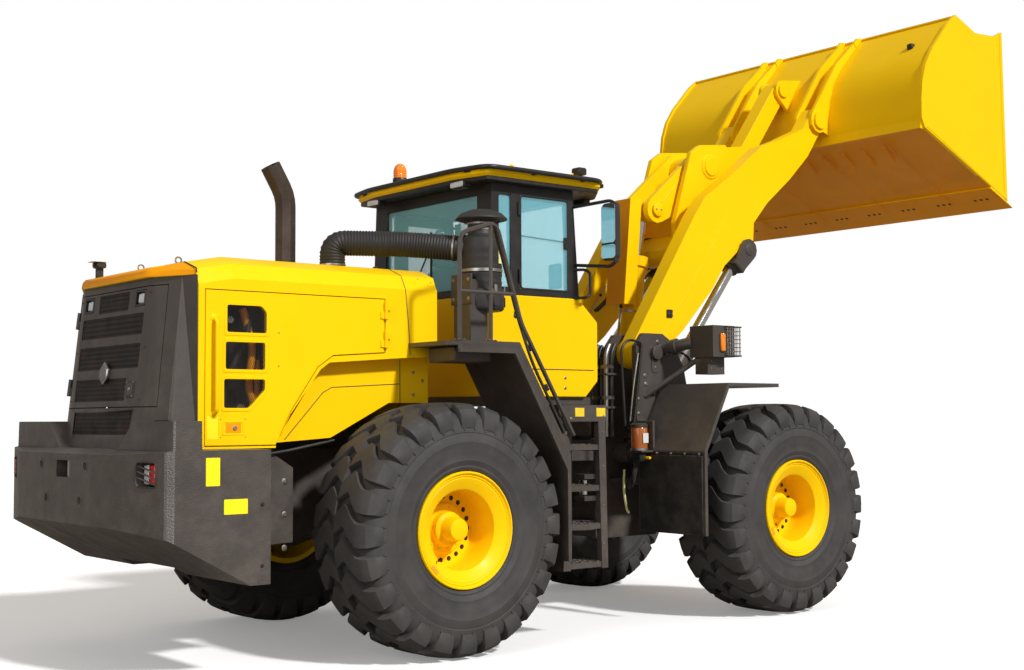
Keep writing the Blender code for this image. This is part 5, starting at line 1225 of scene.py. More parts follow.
roof = Piece("cab_roof_dressed", "yellow")
plan = [(0.58, 0.55), (0.66, 0.9), (1.8, 0.9), (2.02, 0.62)]
outline = soft_outline([(x, -y) for x, y in plan] + [(x, y) for x, y in reversed(plan)], 0.04)
roof.use("yellow").plate(outline, "z", 3.452, 3.518, 0.018)
roof.use("black").plate(grown(outline, -0.02), "z", 3.421, 3.454, 0.004)
roof.use("yellow").box(0.8, 1.8, -0.66, 0.66, 3.51, 3.528, 0.006)
loop = [(x - 0.02, -y - 0.03, 3.512) for x, y in plan] + [
    (x - 0.02, y + 0.03, 3.512) for x, y in reversed(plan)
]
roof.use("black").pipe(loop, 0.1, 0.019, 12, 6, True)
for x, y in ((0.62, 0.7), (1.1, 0.905), (1.6, 0.905), (1.92, 0.76)):
    for side in (-1, 1):
        roof.use("black").box(x - 0.015, x + 0.015, side * y - 0.035, side * y + 0.035, 3.488, 3.52, 0.004)
for side in (-1, 1):
    # Rear and front roof lamps, eyes for lifting the roof
    roof.use("black").box(0.606, 0.68, side * 0.49, side * 0.67, 3.382, 3.438, 0.01)
    roof.use("lens_clear").box(0.6, 0.61, side * 0.502, side * 0.658, 3.39, 3.432, 0.004)
    for k in range(5):
        y = side * (0.515 + 0.033 * k)
        roof.use("chrome").box(0.5985, 0.6005, y - 0.001, y + 0.001, 3.392, 3.43, 0.0004)
    roof.use("black").box(1.92, 1.99, side * 0.39, side * 0.57, 3.382, 3.438, 0.01)
    roof.use("lens_clear").box(1.988, 2.0, side * 0.402, side * 0.558, 3.39, 3.432, 0.004)
    for x in (1.0, 1.64):
        foot = (3.515, button(0.022, 0.008, 0.009, 0.014))
        lifting_eye(roof.use("yellow"), x, side * 0.76, 3.552, 0.026, 0.007, foot, 14)
# Beacon
BEACON = (0.72, 0.35)
roof.use("black").upright(
    (*BEACON, 3.515),
    [
        (0, 0), (0.024, 0), (0.024, 0.04), (0.056, 0.044), (0.06, 0.052), (0.06, 0.076), (0.056, 0.082),
        (0, 0.082)
    ],
    28
)
roof.use("lens_amber").upright(
    (*BEACON, 3.59),
    [(0, 0), (0.053, 0.002), (0.053, 0.06), (0.05, 0.085), (0.04, 0.108), (0.022, 0.124), (0, 0.128)], 28
)
for z in (3.612, 3.63, 3.648):
    roof.upright((*BEACON, z), band(0.051, 0.055, 0.003, 0.008), 28)
# Small lamp over the right front corner
roof.use("black").box(1.66, 1.7, -0.8, -0.76, 3.51, 3.57, 0.004)
roof.box(1.635, 1.725, -0.83, -0.73, 3.565, 3.625, 0.012)
roof.use("lens_clear").box(1.722, 1.73, -0.82, -0.74, 3.573, 3.617, 0.003)
roof.done("rear_body", ("cab_roof",))

cab = Piece("cab_fittings", "rubber")


def gasket(points, r=0.008):
    cab.use("rubber").pipe(points, 0.03, r, 8, 4, True)


gasket(in_plane(-0.788, [(1.063, 2.624), (1.547, 2.624), (1.547, 3.346), (1.063, 3.346)]))
gasket([(0.783, -0.617, 2.624), (0.783, 0.617, 2.624), (0.783, 0.617, 3.346), (0.783, -0.617, 3.346)])
for side in (-1, 1):
    y = side * 0.788
    gasket(in_plane(y, [(0.843, 2.624), (0.967, 2.624), (0.967, 3.346), (0.843, 3.346)]), 0.006)
    cab.use("glass").box(0.84, 0.97, side * 0.774, side * 0.78, 2.621, 3.349, 0.001)
# Bar across the framed window, its handle and hinges
cab.use("black").tube([(1.066, -0.778, 3.035), (1.545, -0.778, 3.015)], 0.006, 8)
cab.use("black").box(1.5, 1.54, -0.8, -0.786, 2.96, 3.05, 0.004)
for z in (2.72, 3.24):
    cab.use("black").upright((1.045, -0.798, z - 0.05), drum(0.012, 0.1), 12)
cab.use("black").pipe(
    [
        (1.602, -0.785, 2.575), (1.66, -0.87, 2.575), (1.7, -0.88, 2.6), (1.7, -0.88, 2.78),
        (1.66, -0.86, 2.8), (1.606, -0.785, 2.8)
    ],
    0.03, 0.012, 10
)
# Seam between the cab's lower panel and its floor; on the right, bolts and a lock
for side in (-1, 1):
    cab.use("rubber").tube(
        [(0.76, side * (CAB_SIDE + 0.0003), 2.005), (1.8, side * (CAB_SIDE + 0.0003), 2.005)], 0.0035, 6
    )
for x in (0.86, 1.5):
    for z in (1.86, 1.94):
        cab.bolt((x, -0.8002, z), (0, -1, 0), 0.008)
cab.use("black").sideways((1.0, -0.8, 2.41), -1, button(0.02, 0.004, 0.012, 0.01), 16)
cab.box(0.985, 1.02, -0.818, -0.8, 2.425, 2.445, 0.003)
# Wiper on the windscreen and on the rear pane
cab.use("black").tube([(1.665, -0.1, 2.6), (1.66, 0.25, 3.02)], 0.008, 8)
cab.box(1.64, 1.66, 0.02, 0.03, 2.7, 3.25, 0.002)
cab.tube([(0.778, 0.3, 2.6), (0.77, 0.05, 2.92)], 0.006, 8)
cab.box(0.772, 0.784, -0.01, 0.005, 2.7, 3.12, 0.002)
# Mirror heads: rounded shells with their glass facing back
for side in (-1, 1):
    mid_y = side * 1.145
    shell = oblong(mid_y - 0.09, mid_y + 0.09, 2.85, 3.3, 0.045, 6)
    cab.use("plastic").plate(shell, "x", 1.654, 1.712, 0.016)
    upper = oblong(mid_y - 0.078, mid_y + 0.078, 2.985, 3.285, 0.032, 5)
    lower = oblong(mid_y - 0.078, mid_y + 0.078, 2.865, 2.972, 0.028, 5)
    cab.use("mirror").plate(upper, "x", 1.6505, 1.656, 0.001)
    cab.plate(lower, "x", 1.6505, 1.656, 0.001)
    for z in (3.26, 2.86):
        cab.use("black").upright((1.68, side * 1.205, z - 0.03), drum(0.022, 0.06), 12)
# Headliner, rear shelf, side console with its levers, screen, pedals
cab.use("plastic_grey").plate(
    [(0.845, -0.7), (1.52, -0.7), (1.52, 0.7), (0.845, 0.7)], "z", 3.36, 3.395, 0.01
)
cab.use("plastic").box(0.812, 0.9, -0.7, 0.7, 2.4, 2.56, 0.02)
cab.box(0.95, 1.42, -0.52, -0.32, 1.855, 2.28, 0.03)
cab.box(1.02, 1.46, -0.5, -0.34, 2.27, 2.33, 0.02)
cab.box(1.0, 1.4, 0.32, 0.5, 1.855, 2.24, 0.03)
for y in (-0.46, -0.41, -0.36):
    cab.use("black").lathe(
        (1.36, y, 2.32), (1.37, y, 3.0),
        [(0, 0), (0.012, 0), (0.006, 0.02), (0.006, 0.09), (0.016, 0.11), (0.016, 0.15), (0, 0.165)], 12
    )
cab.use("black").box(1.55, 1.585, -0.68, -0.54, 2.66, 2.86, 0.01)
cab.use("glass").box(1.545, 1.551, -0.67, -0.55, 2.68, 2.84, 0.002)
cab.use("plastic").box(1.46, 1.6, -0.66, 0.66, 2.44, 2.56, 0.03)
for y in (-0.2, 0.12, 0.24):
    cab.use("black").box(1.6, 1.64, y - 0.04, y + 0.04, 1.96, 2.12, 0.006)
cab.done("rear_body")

# Steering wheel: rim, hub and four spokes on its column
hub, face = Vector((1.4, 0, 2.6)), Vector((-0.014, 0, 0.026))
across_wheel = Vector((0, 1, 0))
up_wheel = face.normalized().cross(across_wheel)
wheel = Piece("steering_wheel", "plastic")
centre = hub + face * 0.5
wheel_rim = [centre + (across_wheel * math.cos(a) + up_wheel * math.sin(a)) * 0.175 for a in circle(48)]
wheel.tube(wheel_rim, 0.0145, 12, True)
for k in range(4):
    a = math.pi / 4 + k * math.pi / 2
    way = across_wheel * math.cos(a) + up_wheel * math.sin(a)
    wheel.rod(centre - face * 0.6 + way * 0.02, centre + way * 0.172, 0.01, 10)
wheel.lathe(
    hub - face * 1.2, hub + face * 2,
    [(0, 0), (0.045, 0), (0.05, 0.02), (0.046, 0.035), (0.03, 0.042), (0, 0.044)], 24
)
wheel.lathe((1.5, 0, 2.42), hub, [(0, 0), (0.034, 0), (0.028, 0.05), (0.028, 0.2), (0, 0.2)], 20)
wheel.plate([(1.52, 1.852), (1.66, 1.852), (1.565, 2.5), (1.47, 2.5)], "y", -0.12, 0.12, 0.02)
wheel.use("black").box(1.475, 1.56, -0.16, 0.16, 2.44, 2.545, 0.02)
for y in (-0.13, 0.13):
    wheel.rod((1.46, y * 0.5, 2.52), (1.4, y * 1.4, 2.56), 0.007, 8)
wheel.done("rear_body", ("steering_console",))

SEAT_SLICES, SEAT_POINTS, SEAT_SQUARENESS = 14, 28, 0.45


def squared(value):
    return math.copysign(abs(value) ** SEAT_SQUARENESS, value)


# Cushions: name, x from and to, half width, z from and to
for name, x0, x1, half, z0, z1 in (
    ("seat_cushion", 0.92, 1.38, 0.26, 2.1, 2.26),
    ("seat_back", 0.872, 1.02, 0.25, 2.2, 2.85),
    ("seat_head", 0.865, 0.965, 0.13, 2.84, 3.05),
):
    cushion = Piece(name, "fabric")
    rings = []
    for i in range(SEAT_SLICES + 1):
        t = i / SEAT_SLICES
        swell = math.sin(math.pi * t) ** 0.35 if 0 < t < 1 else 0.55
        wide, high = half * (0.86 + 0.14 * swell), (z1 - z0) / 2 * (0.8 + 0.2 * swell)
        x, z = x0 + (x1 - x0) * t, (z0 + z1) / 2
        rings.append(
            [(x, wide * squared(math.cos(a)), z + high * squared(math.sin(a))) for a in circle(SEAT_POINTS)]
        )
    cushion.loft(rings)
    made = cushion.done("rear_body", ("seat",) if name == "seat_cushion" else ())
seat_frame = Piece("seat_frame", "plastic")
seat_frame.box(0.98, 1.26, -0.18, 0.18, 1.852, 2.1, 0.02)
for k in range(5):
    seat_frame.use("rubber").box(0.975, 1.265, -0.185, 0.185, 1.9 + 0.035 * k, 1.918 + 0.035 * k, 0.006)
seat_frame.use("plastic").box(0.88, 0.93, -0.2, 0.2, 2.16, 2.8, 0.02)
for y in (-0.08, 0.08):
    seat_frame.use("steel").rod((0.915, y, 2.78), (0.915, y, 2.9), 0.008, 10)
for side in (-1, 1):
    seat_frame.use("plastic").box(0.98, 1.24, side * 0.275, side * 0.33, 2.4, 2.45, 0.015)
    seat_frame.box(0.95, 1.0, side * 0.255, side * 0.285, 2.2, 2.43, 0.01)
seat_frame.done("rear_body")

# The door's panel with its window open, glass, seal and handle
door = Piece("cab_door_dressed", "black")
panel = [(1.02, 1.856), (1.6, 1.856), (1.6, 2.57), (1.56, 3.35), (1.02, 3.35)]
opening = [(1.08, 2.62), (1.53, 2.62), (1.5, 3.29), (1.08, 3.29)]
door.plate(panel, "y", 0.745, 0.795, 0.004, [soft_outline(opening, 0.03)])
door.use("yellow").box(1.055, 1.565, 0.7945, 0.7975, 1.891, 2.54, 0.0012)
for z in (2.75, 3.2):
    door.use("black").rod((1.017, 0.809, z - 0.06), (1.017, 0.809, z - 0.0005), 0.014, 16)
    door.box(1.017, 1.057, 0.787, 0.809, z - 0.056, z - 0.004, 0.002)
pane = [(1.083, 2.622), (1.529, 2.622), (1.5, 3.287), (1.083, 3.287)]
door.use("glass").plate(pane, "y", 0.787, 0.791, 0.001)
door.use("rubber").pipe([(x, 0.794, z) for x, z in pane], 0.03, 0.007, 8, 4, True)
door.use("black").box(1.5, 1.58, 0.795, 0.812, 2.33, 2.42, 0.006)
door.sideways((1.54, 0.8, 2.375), 1, button(0.02, 0.02, 0.012, 0.026), 16)
door.pipe([(1.565, 0.79, 2.62), (1.565, 0.85, 2.63), (1.555, 0.85, 3.0), (1.555, 0.79, 3.01)], 0.03, 0.01, 10)
door.done("cab_door", ("cab_door_left",))


# Platforms: treads, reflectors, box lid, clamps, conduit

TREAD_HEIGHTS = (0.57, 0.85, 1.13, 1.43)

for side_name, side in SIDES.items():
    deck = Piece(f"platform_{side_name}_fittings", "grey")
    y_low = min(side * 1.165, side * 1.405)
    for z in TREAD_HEIGHTS:
        for i in range(5):
            for j in range(4):
                x, y = 0.985 + 0.08 * i, y_low + 0.03 + 0.06 * j
                deck.upright(
                    (x, y, z - 0.001), [(0.01, 0), (0.016, 0.001), (0.013, 0.006), (0.01, 0.004)], 10
                )
    deck.use("tread_plate")
    for i in range(7):
        for j in range(9):
            x, y = -0.04 + 0.068 * i, side * (1.04 + 0.048 * j)
            if x < 0.05 and abs(y) > 1.3:
                continue
            slant = math.pi / 4 * (1 if (i + j) % 2 else -1)
            spot = Matrix.Translation((x, y, DECK_TOP)) @ Matrix.Rotation(slant, 4, "Z")
            deck.box(-0.018, 0.018, -0.005, 0.005, -0.001, 0.004, 0.002, spot)
    deck.use("reflector")
    for x in (1.1, 1.31):
        deck.box(x - 0.045, x + 0.045, side * 1.414, side * 1.419, 1.635, 1.7, 0.002)
    # Box lid with hinges and a latch, feet of the rail, bolts of the fender
    deck.use("grey").box(0.945, 1.285, side * 1.099, side * 1.106, 0.76, 1.585, 0.004)
    deck.use("black").box(1.09, 1.15, side * 1.105, side * 1.118, 1.4, 1.44, 0.004)
    for z in (0.9, 1.42):
        deck.use("black").rod((0.96, side * 1.11, z - 0.04), (0.96, side * 1.11, z + 0.04), 0.009, 10)
    for x in (-0.02, 0.25):
        deck.use("grey").box(x - 0.035, x + 0.035, side * 1.42, side * 1.48, DECK_TOP + 0.0005, 2.169, 0.003)
        for u, v in ((-0.024, -0.02), (0.024, -0.02), (-0.024, 0.02), (0.024, 0.02)):
            deck.bolt((x + u, side * 1.45 + v, 2.169), (0, 0, 1), 0.006, False)
    deck.bolts(((0.955, 1.62), (1.02, 1.62), (1.335, 1.64)), side * 1.4155, side, 0.008)
    for z in (0.7, 0.98, 1.27, 1.52):
        deck.bolt((0.965, side * 1.4205, z), (0, side, 0), 0.009)
        deck.bolt((1.325, side * 1.4185, z), (0, side, 0), 0.007, False)
    # Conduit down the fender's sloping edge, with clamps
    run = [
        (0.3, side * 1.43, 2.96), (0.515, side * 1.425, 2.33), (0.6, side * 1.475, 2.02),
        (0.9, side * 1.475, 1.52)
    ]
    deck.use("rubber").pipe(run, 0.1, 0.011, 8)
    for k in (0.25, 0.6, 0.9):
        spot = Vector(run[1]).lerp(Vector(run[3]), k)
        deck.use("black").rod(spot + Vector((-0.012, 0, 0.02)), spot + Vector((0.012, 0, -0.02)), 0.017, 10)
    # Shallow tank under the deck
    deck.use("grey").box(0.02, 0.34, side * 1.02, side * 1.34, 2.02, 2.1275, 0.01)
    deck.done("rear_body")


# Rear frame: bolted side plates, tow lug, thin hose, hydraulic pipes under the cab

side_bits = Piece("frame_fittings", "grey")
for side in (-1, 1):
    for z in (0.989, 0.765, 1.21):
        side_bits.bolt((-0.995, side * (FRAME_SIDE + 0.0005), z), (0, side, 0), 0.014)
        side_bits.bolt((-1.3, side * (FRAME_SIDE + 0.0005), z), (0, side, 0), 0.014)
    side_bits.use("cast").plate(
        soft_outline([(-1.38, 1.1), (-1.14, 1.13), (-1.1, 1.22), (-1.17, 1.3), (-1.38, 1.28)], 0.03), "y",
        side * (FRAME_SIDE + 0.0005), side * 0.815, 0.008
    )
    side_bits.use("rubber").pipe(
        in_plane(side * 0.8, [(-1.38, 1.395), (-1.2, 1.392), (-1.02, 1.41), (-0.62, 1.482)]), 0.08, 0.01, 8
    )
    for k in range(4):
        x = -0.2 + 0.3 * k
        side_bits.use("rubber").pipe(
            [(x, side * 0.39, 1.3), (x + 0.1, side * 0.41, 1.22 - 0.02 * k), (x + 0.28, side * 0.39, 1.3)],
            0.06, 0.013, 8
        )
    for x in (0.72, 0.92, 1.12, 1.32):
        side_bits.bolt((x, side * 0.3705, 1.33), (0, side, 0), 0.011)
for k in range(6):
    y = -0.25 + 0.1 * k
    side_bits.use("black" if k % 2 else "steel").pipe(
        [(0.62, y, 1.46), (1.1, y, 1.48), (1.46, y * 0.9, 1.52), (1.56, y * 0.8, 1.46)], 0.08, 0.014, 8
    )
side_bits.done("rear_body")


# Front frame and towers: bolts, pin plates, headlamp guards, pipes, grease pump

front = Piece("front_fittings", "grey")
for side in (-1, 1):
    out = side * (TOWER_SIDE + 0.0003)
    # Pin retainer with its bolts, access slot, row of bolts down the edge
    front.use("grey").sideways(pin_at(BOOM_PIN, side * 0.749), side, button(0.058, 0.006, 0.046, 0.01), 24)
    slot = oblong(2.525, 2.615, 2.0, 2.225, 0.04, 5)
    front.use("cast").plate(
        slot, "y", side * 0.7195, side * 0.726, 0.003, [arc(BOOM_PIN, 0.061, 0, 337.5, 15)]
    )
    front.bolts(
        ((2.57, 2.045), (2.45, 1.975), (2.46, 1.905), (2.57, 1.83), (2.485, 1.8), (2.6, 2.26)), out, side,
        0.013
    )
    front.sideways(pin_at(LIFT_BASE, side * 0.7205), side, button(0.055, 0.012, 0.03, 0.018), 20)
    # Headlamp: arm clamp, turn lamp, wire guard over the outer face, lens before it
    front.use("grey").lathe(
        (2.7, side * 0.8, 2.215), (2.74, side * 1.0, 2.25), band(0.048, 0.066, 0.001, 0.05, 0.052), 18
    )
    for a in circle(3):
        front.bolt(
            (2.705 + 0.058 * math.cos(a), side * 0.752, 2.215 + 0.058 * math.sin(a)), (0, side, 0), 0.009,
            False
        )
    front.use("lens_amber").box(2.8, 2.855, side * 1.2405, side * 1.262, 2.165, 2.315, 0.008)
    front.use("lens_clear").box(2.978, 2.992, side * 1.01, side * 1.21, 2.15, 2.35, 0.006)
    front.use("black").box(2.972, 2.984, side * 0.995, side * 1.225, 2.135, 2.365, 0.004)
    for k in range(6):
        x = 2.87 + 0.03 * k
        front.use("zinc").rod((x, side * 1.266, 2.13), (x, side * 1.266, 2.37), 0.0028, 6)
    for k in range(8):
        z = 2.135 + 0.033 * k
        front.rod((2.86, side * 1.266, z), (3.03, side * 1.266, z), 0.0028, 6)
        front.rod((3.03, side * 1.266, z), (3.03, side * 1.0, z), 0.0028, 6)
    for k in range(8):
        y = side * (1.01 + 0.034 * k)
        front.rod((3.03, y, 2.13), (3.03, y, 2.37), 0.0028, 6)
    for z in (2.13, 2.37):
        front.use("black").tube(
            [
                (2.86, side * 1.245, z), (2.86, side * 1.268, z), (3.032, side * 1.268, z),
                (3.032, side * 1.0, z), (2.98, side * 1.0, z)
            ],
            0.005, 8
        )
    front.bolts(((2.78, 2.03), (2.9, 2.03), (2.78, 2.09), (2.9, 2.09)), side * 1.1605, side, 0.006, False)
    # Fender: seam flange and its bolts at the mud flap
    front.use("black").box(2.327, 2.365, side * 0.765, side * 1.495, 1.325, 1.35, 0.004)
    for k in range(5):
        front.bolt((2.3265, side * (0.82 + 0.155 * k), 1.337), (-1, 0, 0), 0.009)
    front.use("rubber").box(2.318, 2.3295, side * 0.78, side * 1.48, 0.705, 1.325, 0.004)
    # Small handrail over the pipes
    rail = in_plane(side * 0.74, [(2.2, 1.56), (2.16, 2.2), (2.24, 2.27), (2.4, 2.25), (2.3, 1.56)])
    front.use("black").pipe(rail, 0.05, 0.011, 10, 6)
    front.use("steel").pipe(
        [(2.36, side * 0.735, 2.16), (2.3, side * 0.74, 1.9), (2.26, side * 0.735, 1.6)], 0.06, 0.007, 8
    )
    for z in (2.1, 1.95, 1.78, 1.66):
        front.bolt((2.375, out, z), (0, side, 0), 0.01)
# Vertical pipes and hoses behind the towers, from the valve up to the boom
for k, (x, y) in enumerate(
    (
        (2.24, -0.47), (2.27, -0.41), (2.3, -0.47), (2.33, -0.38), (2.24, -0.33), (2.33, -0.28), (2.26, 0.34),
        (2.3, 0.4), (2.26, 0.46), (2.33, 0.28)
    )
):
    front.use("black" if k % 3 else "steel").pipe(
        [(x, y, 1.47), (x, y, 1.6), (x, y, 2.16), (x + 0.05, y * 0.98, 2.24)], 0.05,
        0.015 if k % 2 else 0.019, 10
    )
    for z in (1.78, 2.04):
        front.use("steel").upright((x, y, z), band(0.012, 0.024, 0, 0.03), 6)
for z in (1.7, 1.98):
    front.use("grey").box(2.22, 2.36, -0.5, -0.25, z, z + 0.02, 0.004)
    front.box(2.22, 2.36, 0.25, 0.49, z, z + 0.02, 0.004)
front.use("engine").box(2.2, 2.34, -0.3, 0.3, 1.46, 1.66, 0.02)
for k in range(4):
    front.use("steel").rod((2.27, -0.24 + 0.16 * k, 1.655), (2.27, -0.24 + 0.16 * k, 1.72), 0.022, 6)
# Grease pump with its see-through reservoir, on a bracket by the right tower
RESERVOIR = (2.25, -0.85)
front.use("grey").box(2.2, 2.36, -0.93, -0.76, 1.345, 1.36, 0.003)
front.box(2.33, 2.352, -0.93, -0.721, 1.36, 1.6, 0.003)
front.use("oil").upright(
    (*RESERVOIR, 1.375), [(0, 0), (0.066, 0), (0.068, 0.01), (0.068, 0.165), (0.062, 0.175), (0, 0.175)], 28
)
front.use("steel").upright((*RESERVOIR, 1.36), drum(0.074, 0.018), 28)
front.use("plastic").upright((*RESERVOIR, 1.55), button(0.072, 0.022, 0.05, 0.034), 28)
front.use("plate_white").box(2.225, 2.285, -0.923, -0.919, 1.42, 1.5, 0.0015)
front.use("black").box(2.215, 2.285, -0.9, -0.8, 1.27, 1.345, 0.01)
front.use("yellow").rod((2.28, -0.9, 1.3), (2.28, -0.945, 1.3), 0.012, 8)
for k in range(3):
    front.use("rubber").pipe(
        [
            (2.23 + 0.02 * k, -0.82, 1.28), (2.22, -0.8, 1.14 - 0.04 * k), (2.26, -0.7, 1.04),
            (2.36, -0.64, 1.08)
        ],
        0.07, 0.009, 8
    )
front.use("label").pipe(
    [(2.26, -0.66, 1.2), (2.23, -0.68, 1.04), (2.28, -0.66, 0.88), (2.36, -0.6, 0.84)], 0.09, 0.01, 8, 6
)
front.done("front_body")


# Boom: weld beads, sensor plate, bosses, pin plates, grease lines

arms = Piece("boom_fittings", "yellow")
for side in (-1, 1):
    arms.tube(ring_at(CROSS_TUBE, side * 0.4225, CROSS_RADIUS), 0.009, 8, True)
    arms.tube(ring_at(CROSS_TUBE, side * 0.2775, CROSS_RADIUS), 0.008, 8, True)
    arms.tube(ring_at(CROSS_TUBE, side * 0.2225, CROSS_RADIUS), 0.008, 8, True)
    arms.sideways(
        pin_at(LEVER_PIN, side * 0.274), side,
        [(0.065, 0), (0.115, 0), (0.115, 0.004), (0.105, 0.012), (0.065, 0.012)], 32
    )
    # A disc welded to the arm's outer face over the lift pin, and the sensor plate
    arms.sideways(pin_at(LIFT_PIN, side * (ARM_SIDE + 0.0005)), side, button(0.062, 0.003, 0.056, 0.0075), 28)
    arms.use("black").box(2.855, 2.925, side * 0.574, side * 0.59, 2.485, 2.555, 0.006)
    for u in (-0.018, 0.018):
        arms.bolt((2.89 + u, side * 0.59, 2.52), (0, side, 0), 0.006, False)
    arms.use("yellow").tube(
        in_plane(side * (ARM_SIDE + 0.0005), [(2.7, 2.2), (3.3, 2.95), (3.62, 3.4)]), 0.0028, 6
    )
    # Grease lines along the inside of the arm
    arms.use("steel").pipe(
        in_plane(side * 0.415, [(2.75, 2.45), (3.2, 3.0), (3.75, 3.55), (4.7, 4.28)]), 0.1, 0.006, 8
    )
    for t in ((3.0, 2.755), (3.5, 3.3), (4.1, 3.82)):
        arms.use("black").box(
            t[0] - 0.012, t[0] + 0.012, side * 0.405, side * 0.4255, t[1] - 0.012, t[1] + 0.012, 0.003
        )
arms.use("rubber")
for y in (-0.34, -0.31, 0.31, 0.34):
    arms.pipe(in_plane(y, [(2.86, 2.6), (3.0, 2.7), (3.25, 3.02), (3.36, 3.05)]), 0.12, 0.015, 10)
arms.done("boom")

lever = Piece("lever_fittings", "yellow")
for x, z in (TILT_PIN, LINK_PIN):
    for side in (-1, 1):
        lever.sideways((x, side * 0.204, z), side, button(0.062, 0.008, 0.056, 0.012), 24)
        lever.bolt((x + 0.03, side * 0.216, z), (0, side, 0), 0.008, False)
        lever.bolt((x - 0.03, side * 0.216, z), (0, side, 0), 0.008, False)
lever.tube([(3.2, -0.192, 3.56), (3.66, -0.192, 4.02)], 0.003, 6)
lever.done("bellcrank")


# Cylinders: port blocks, hoses, gland bolts, clamps

PINS = {"lift": (LIFT_BASE, LIFT_PIN), "tilt": (TILT_BASE, TILT_PIN)}


def cylinder_bits(name, body, kind, y, radius, gland, paint):
    (x0, z0), (x1, z1) = PINS[kind]
    start, end = Vector((x0, y, z0)), Vector((x1, y, z1))
    way = (end - start).normalized()
    up = Vector((-way.z, 0, way.x))
    piece = Piece(name, paint)
    piece.lathe(start + way * (gland - 0.075), end, band(radius - 0.002, radius + 0.016, 0.001, 0.05), 32)
    piece.use("rubber").lathe(
        start + way * (gland + 0.019), end, [(0.047, 0), (0.066, 0.001), (0.058, 0.012), (0.047, 0.012)], 28
    )
    for a in circle(8):
        outward = up * math.cos(a) + Vector((0, 1, 0)) * math.sin(a)
        spot = start + way * (gland + 0.02) + outward * (radius - 0.004)
        piece.bolt(spot, way, 0.008, False, "dark_bolt")
    for reach in (0.2, gland - 0.12):
        foot = start + way * reach + up * (radius - 0.004)
        here = towards(foot, foot + up)
        piece.use(paint).box(-0.03, 0.03, -0.03, 0.03, 0, 0.035, 0.004, here)
        piece.use("steel").lathe(foot + up * 0.03, foot + up, drum(0.02, 0.025), 6)
    low, high = (start + way * reach + up * (radius + 0.045) for reach in (0.22, gland - 0.12))
    piece.use("steel").pipe([low - up * 0.02, low, high, high - up * 0.02], 0.03, 0.01, 8)
    for t in (0.35, 0.65):
        spot = low.lerp(high, t)
        piece.use("black").lathe(
            spot - way * 0.012, end - way * 0.012 + (spot - start), band(0.009, 0.016, 0, 0.02), 12
        )
    for t in (0.45, 0.62):
        piece.use("steel").lathe(
            start + way * (gland * t), end, band(radius - 0.002, radius + 0.003, 0.001, 0.02), 32
        )
    piece.done(body)


for side_name, side in SIDES.items():
    cylinder_bits(
        f"lift_{side_name}_fittings", f"lift_barrel_{side_name}", "lift", side * 0.5, 0.085, 1.12,
        "grey"
    )
    eye = Piece(f"lift_rod_{side_name}_fittings", "grey")
    for s in (-1, 1):
        y = side * 0.5 + s * 0.115
        eye.sideways(
            pin_at(LIFT_PIN, y), s, [(0, -0.002), (0.054, -0.002), (0.054, 0.004), (0.05, 0.006), (0, 0.006)],
            24
        )
    eye.done(f"lift_rod_{side_name}")
cylinder_bits("tilt_fittings", "tilt_barrel", "tilt", 0.0, 0.09, 1.32, "yellow")


# Bucket: cutting edge bolts, wear strips, edge bands, hooks, weld beads

scoop = Piece("bucket_fittings", "yellow")


def slope(low, high, upward):
    """The start, unit run and unit normal of a sloping line in the middle plane."""
    start, end = Vector((low[0], 0, low[1])), Vector((high[0], 0, high[1]))
    way = (end - start).normalized()
    normal = Vector((way.z, 0, -way.x))
    return start, way, normal if (normal.z > 0) == upward else -normal


edge_top, edge_run, edge_up = slope((6.47, 3.645), (6.14, 3.82), True)
under_edge, under_run, under_out = slope((6.49, 3.63), (6.12, 3.785), False)
FIRST_GROUP, GROUP_STEP, BOLT_STEP = -1.46, 0.417, 0.065
for group in range(8):
    middle = FIRST_GROUP + group * GROUP_STEP
    for k in (-1, 0, 1):
        spot = under_edge + under_run * 0.22 + Vector((0, middle + BOLT_STEP * k, 0))
        # Thin near-black discs under the edge: painted shade in the bolt recesses
        scoop.use("depths").lathe(
            spot + under_out * 0.0005, spot + under_out, [(0, 0), (0.016, 0), (0.014, 0.002), (0, 0.002)], 14
        )
        # Bolts on top of the edge in the darker, oranger yellow: painted shade, with dust
        scoop.use("yellow_deep_painted_shade").bolt(
            edge_top + edge_run * 0.24 + Vector((0, middle + BOLT_STEP * k, 0)), edge_up, 0.017, True,
            "yellow_deep_painted_shade"
        )
# Slanting wear strips under the floor; these and the thin beads after them are in the oranger yellow of
# painted shade
heel, heel_run, heel_out = slope((5.1, 4.235), (6.285, 3.7), False)
lip = Vector((6.285, 0, 3.7))
for k in range(10):
    middle = -1.05 + 0.233 * k
    foot = heel + heel_run * 0.42 + Vector((0, middle, 0)) + heel_out * 0.002
    head = heel + heel_run * 0.16 + Vector((0, middle - 0.05, 0)) + heel_out * 0.002
    scoop.use("yellow_shade").tube([foot, head], 0.013, 6)
for y in (-1.15, -0.4, 0.4, 1.15):
    aside = Vector((0, y, 0)) + heel_out * 0.001
    scoop.use("yellow_shade").tube([lip + aside, heel + aside], 0.004, 6)
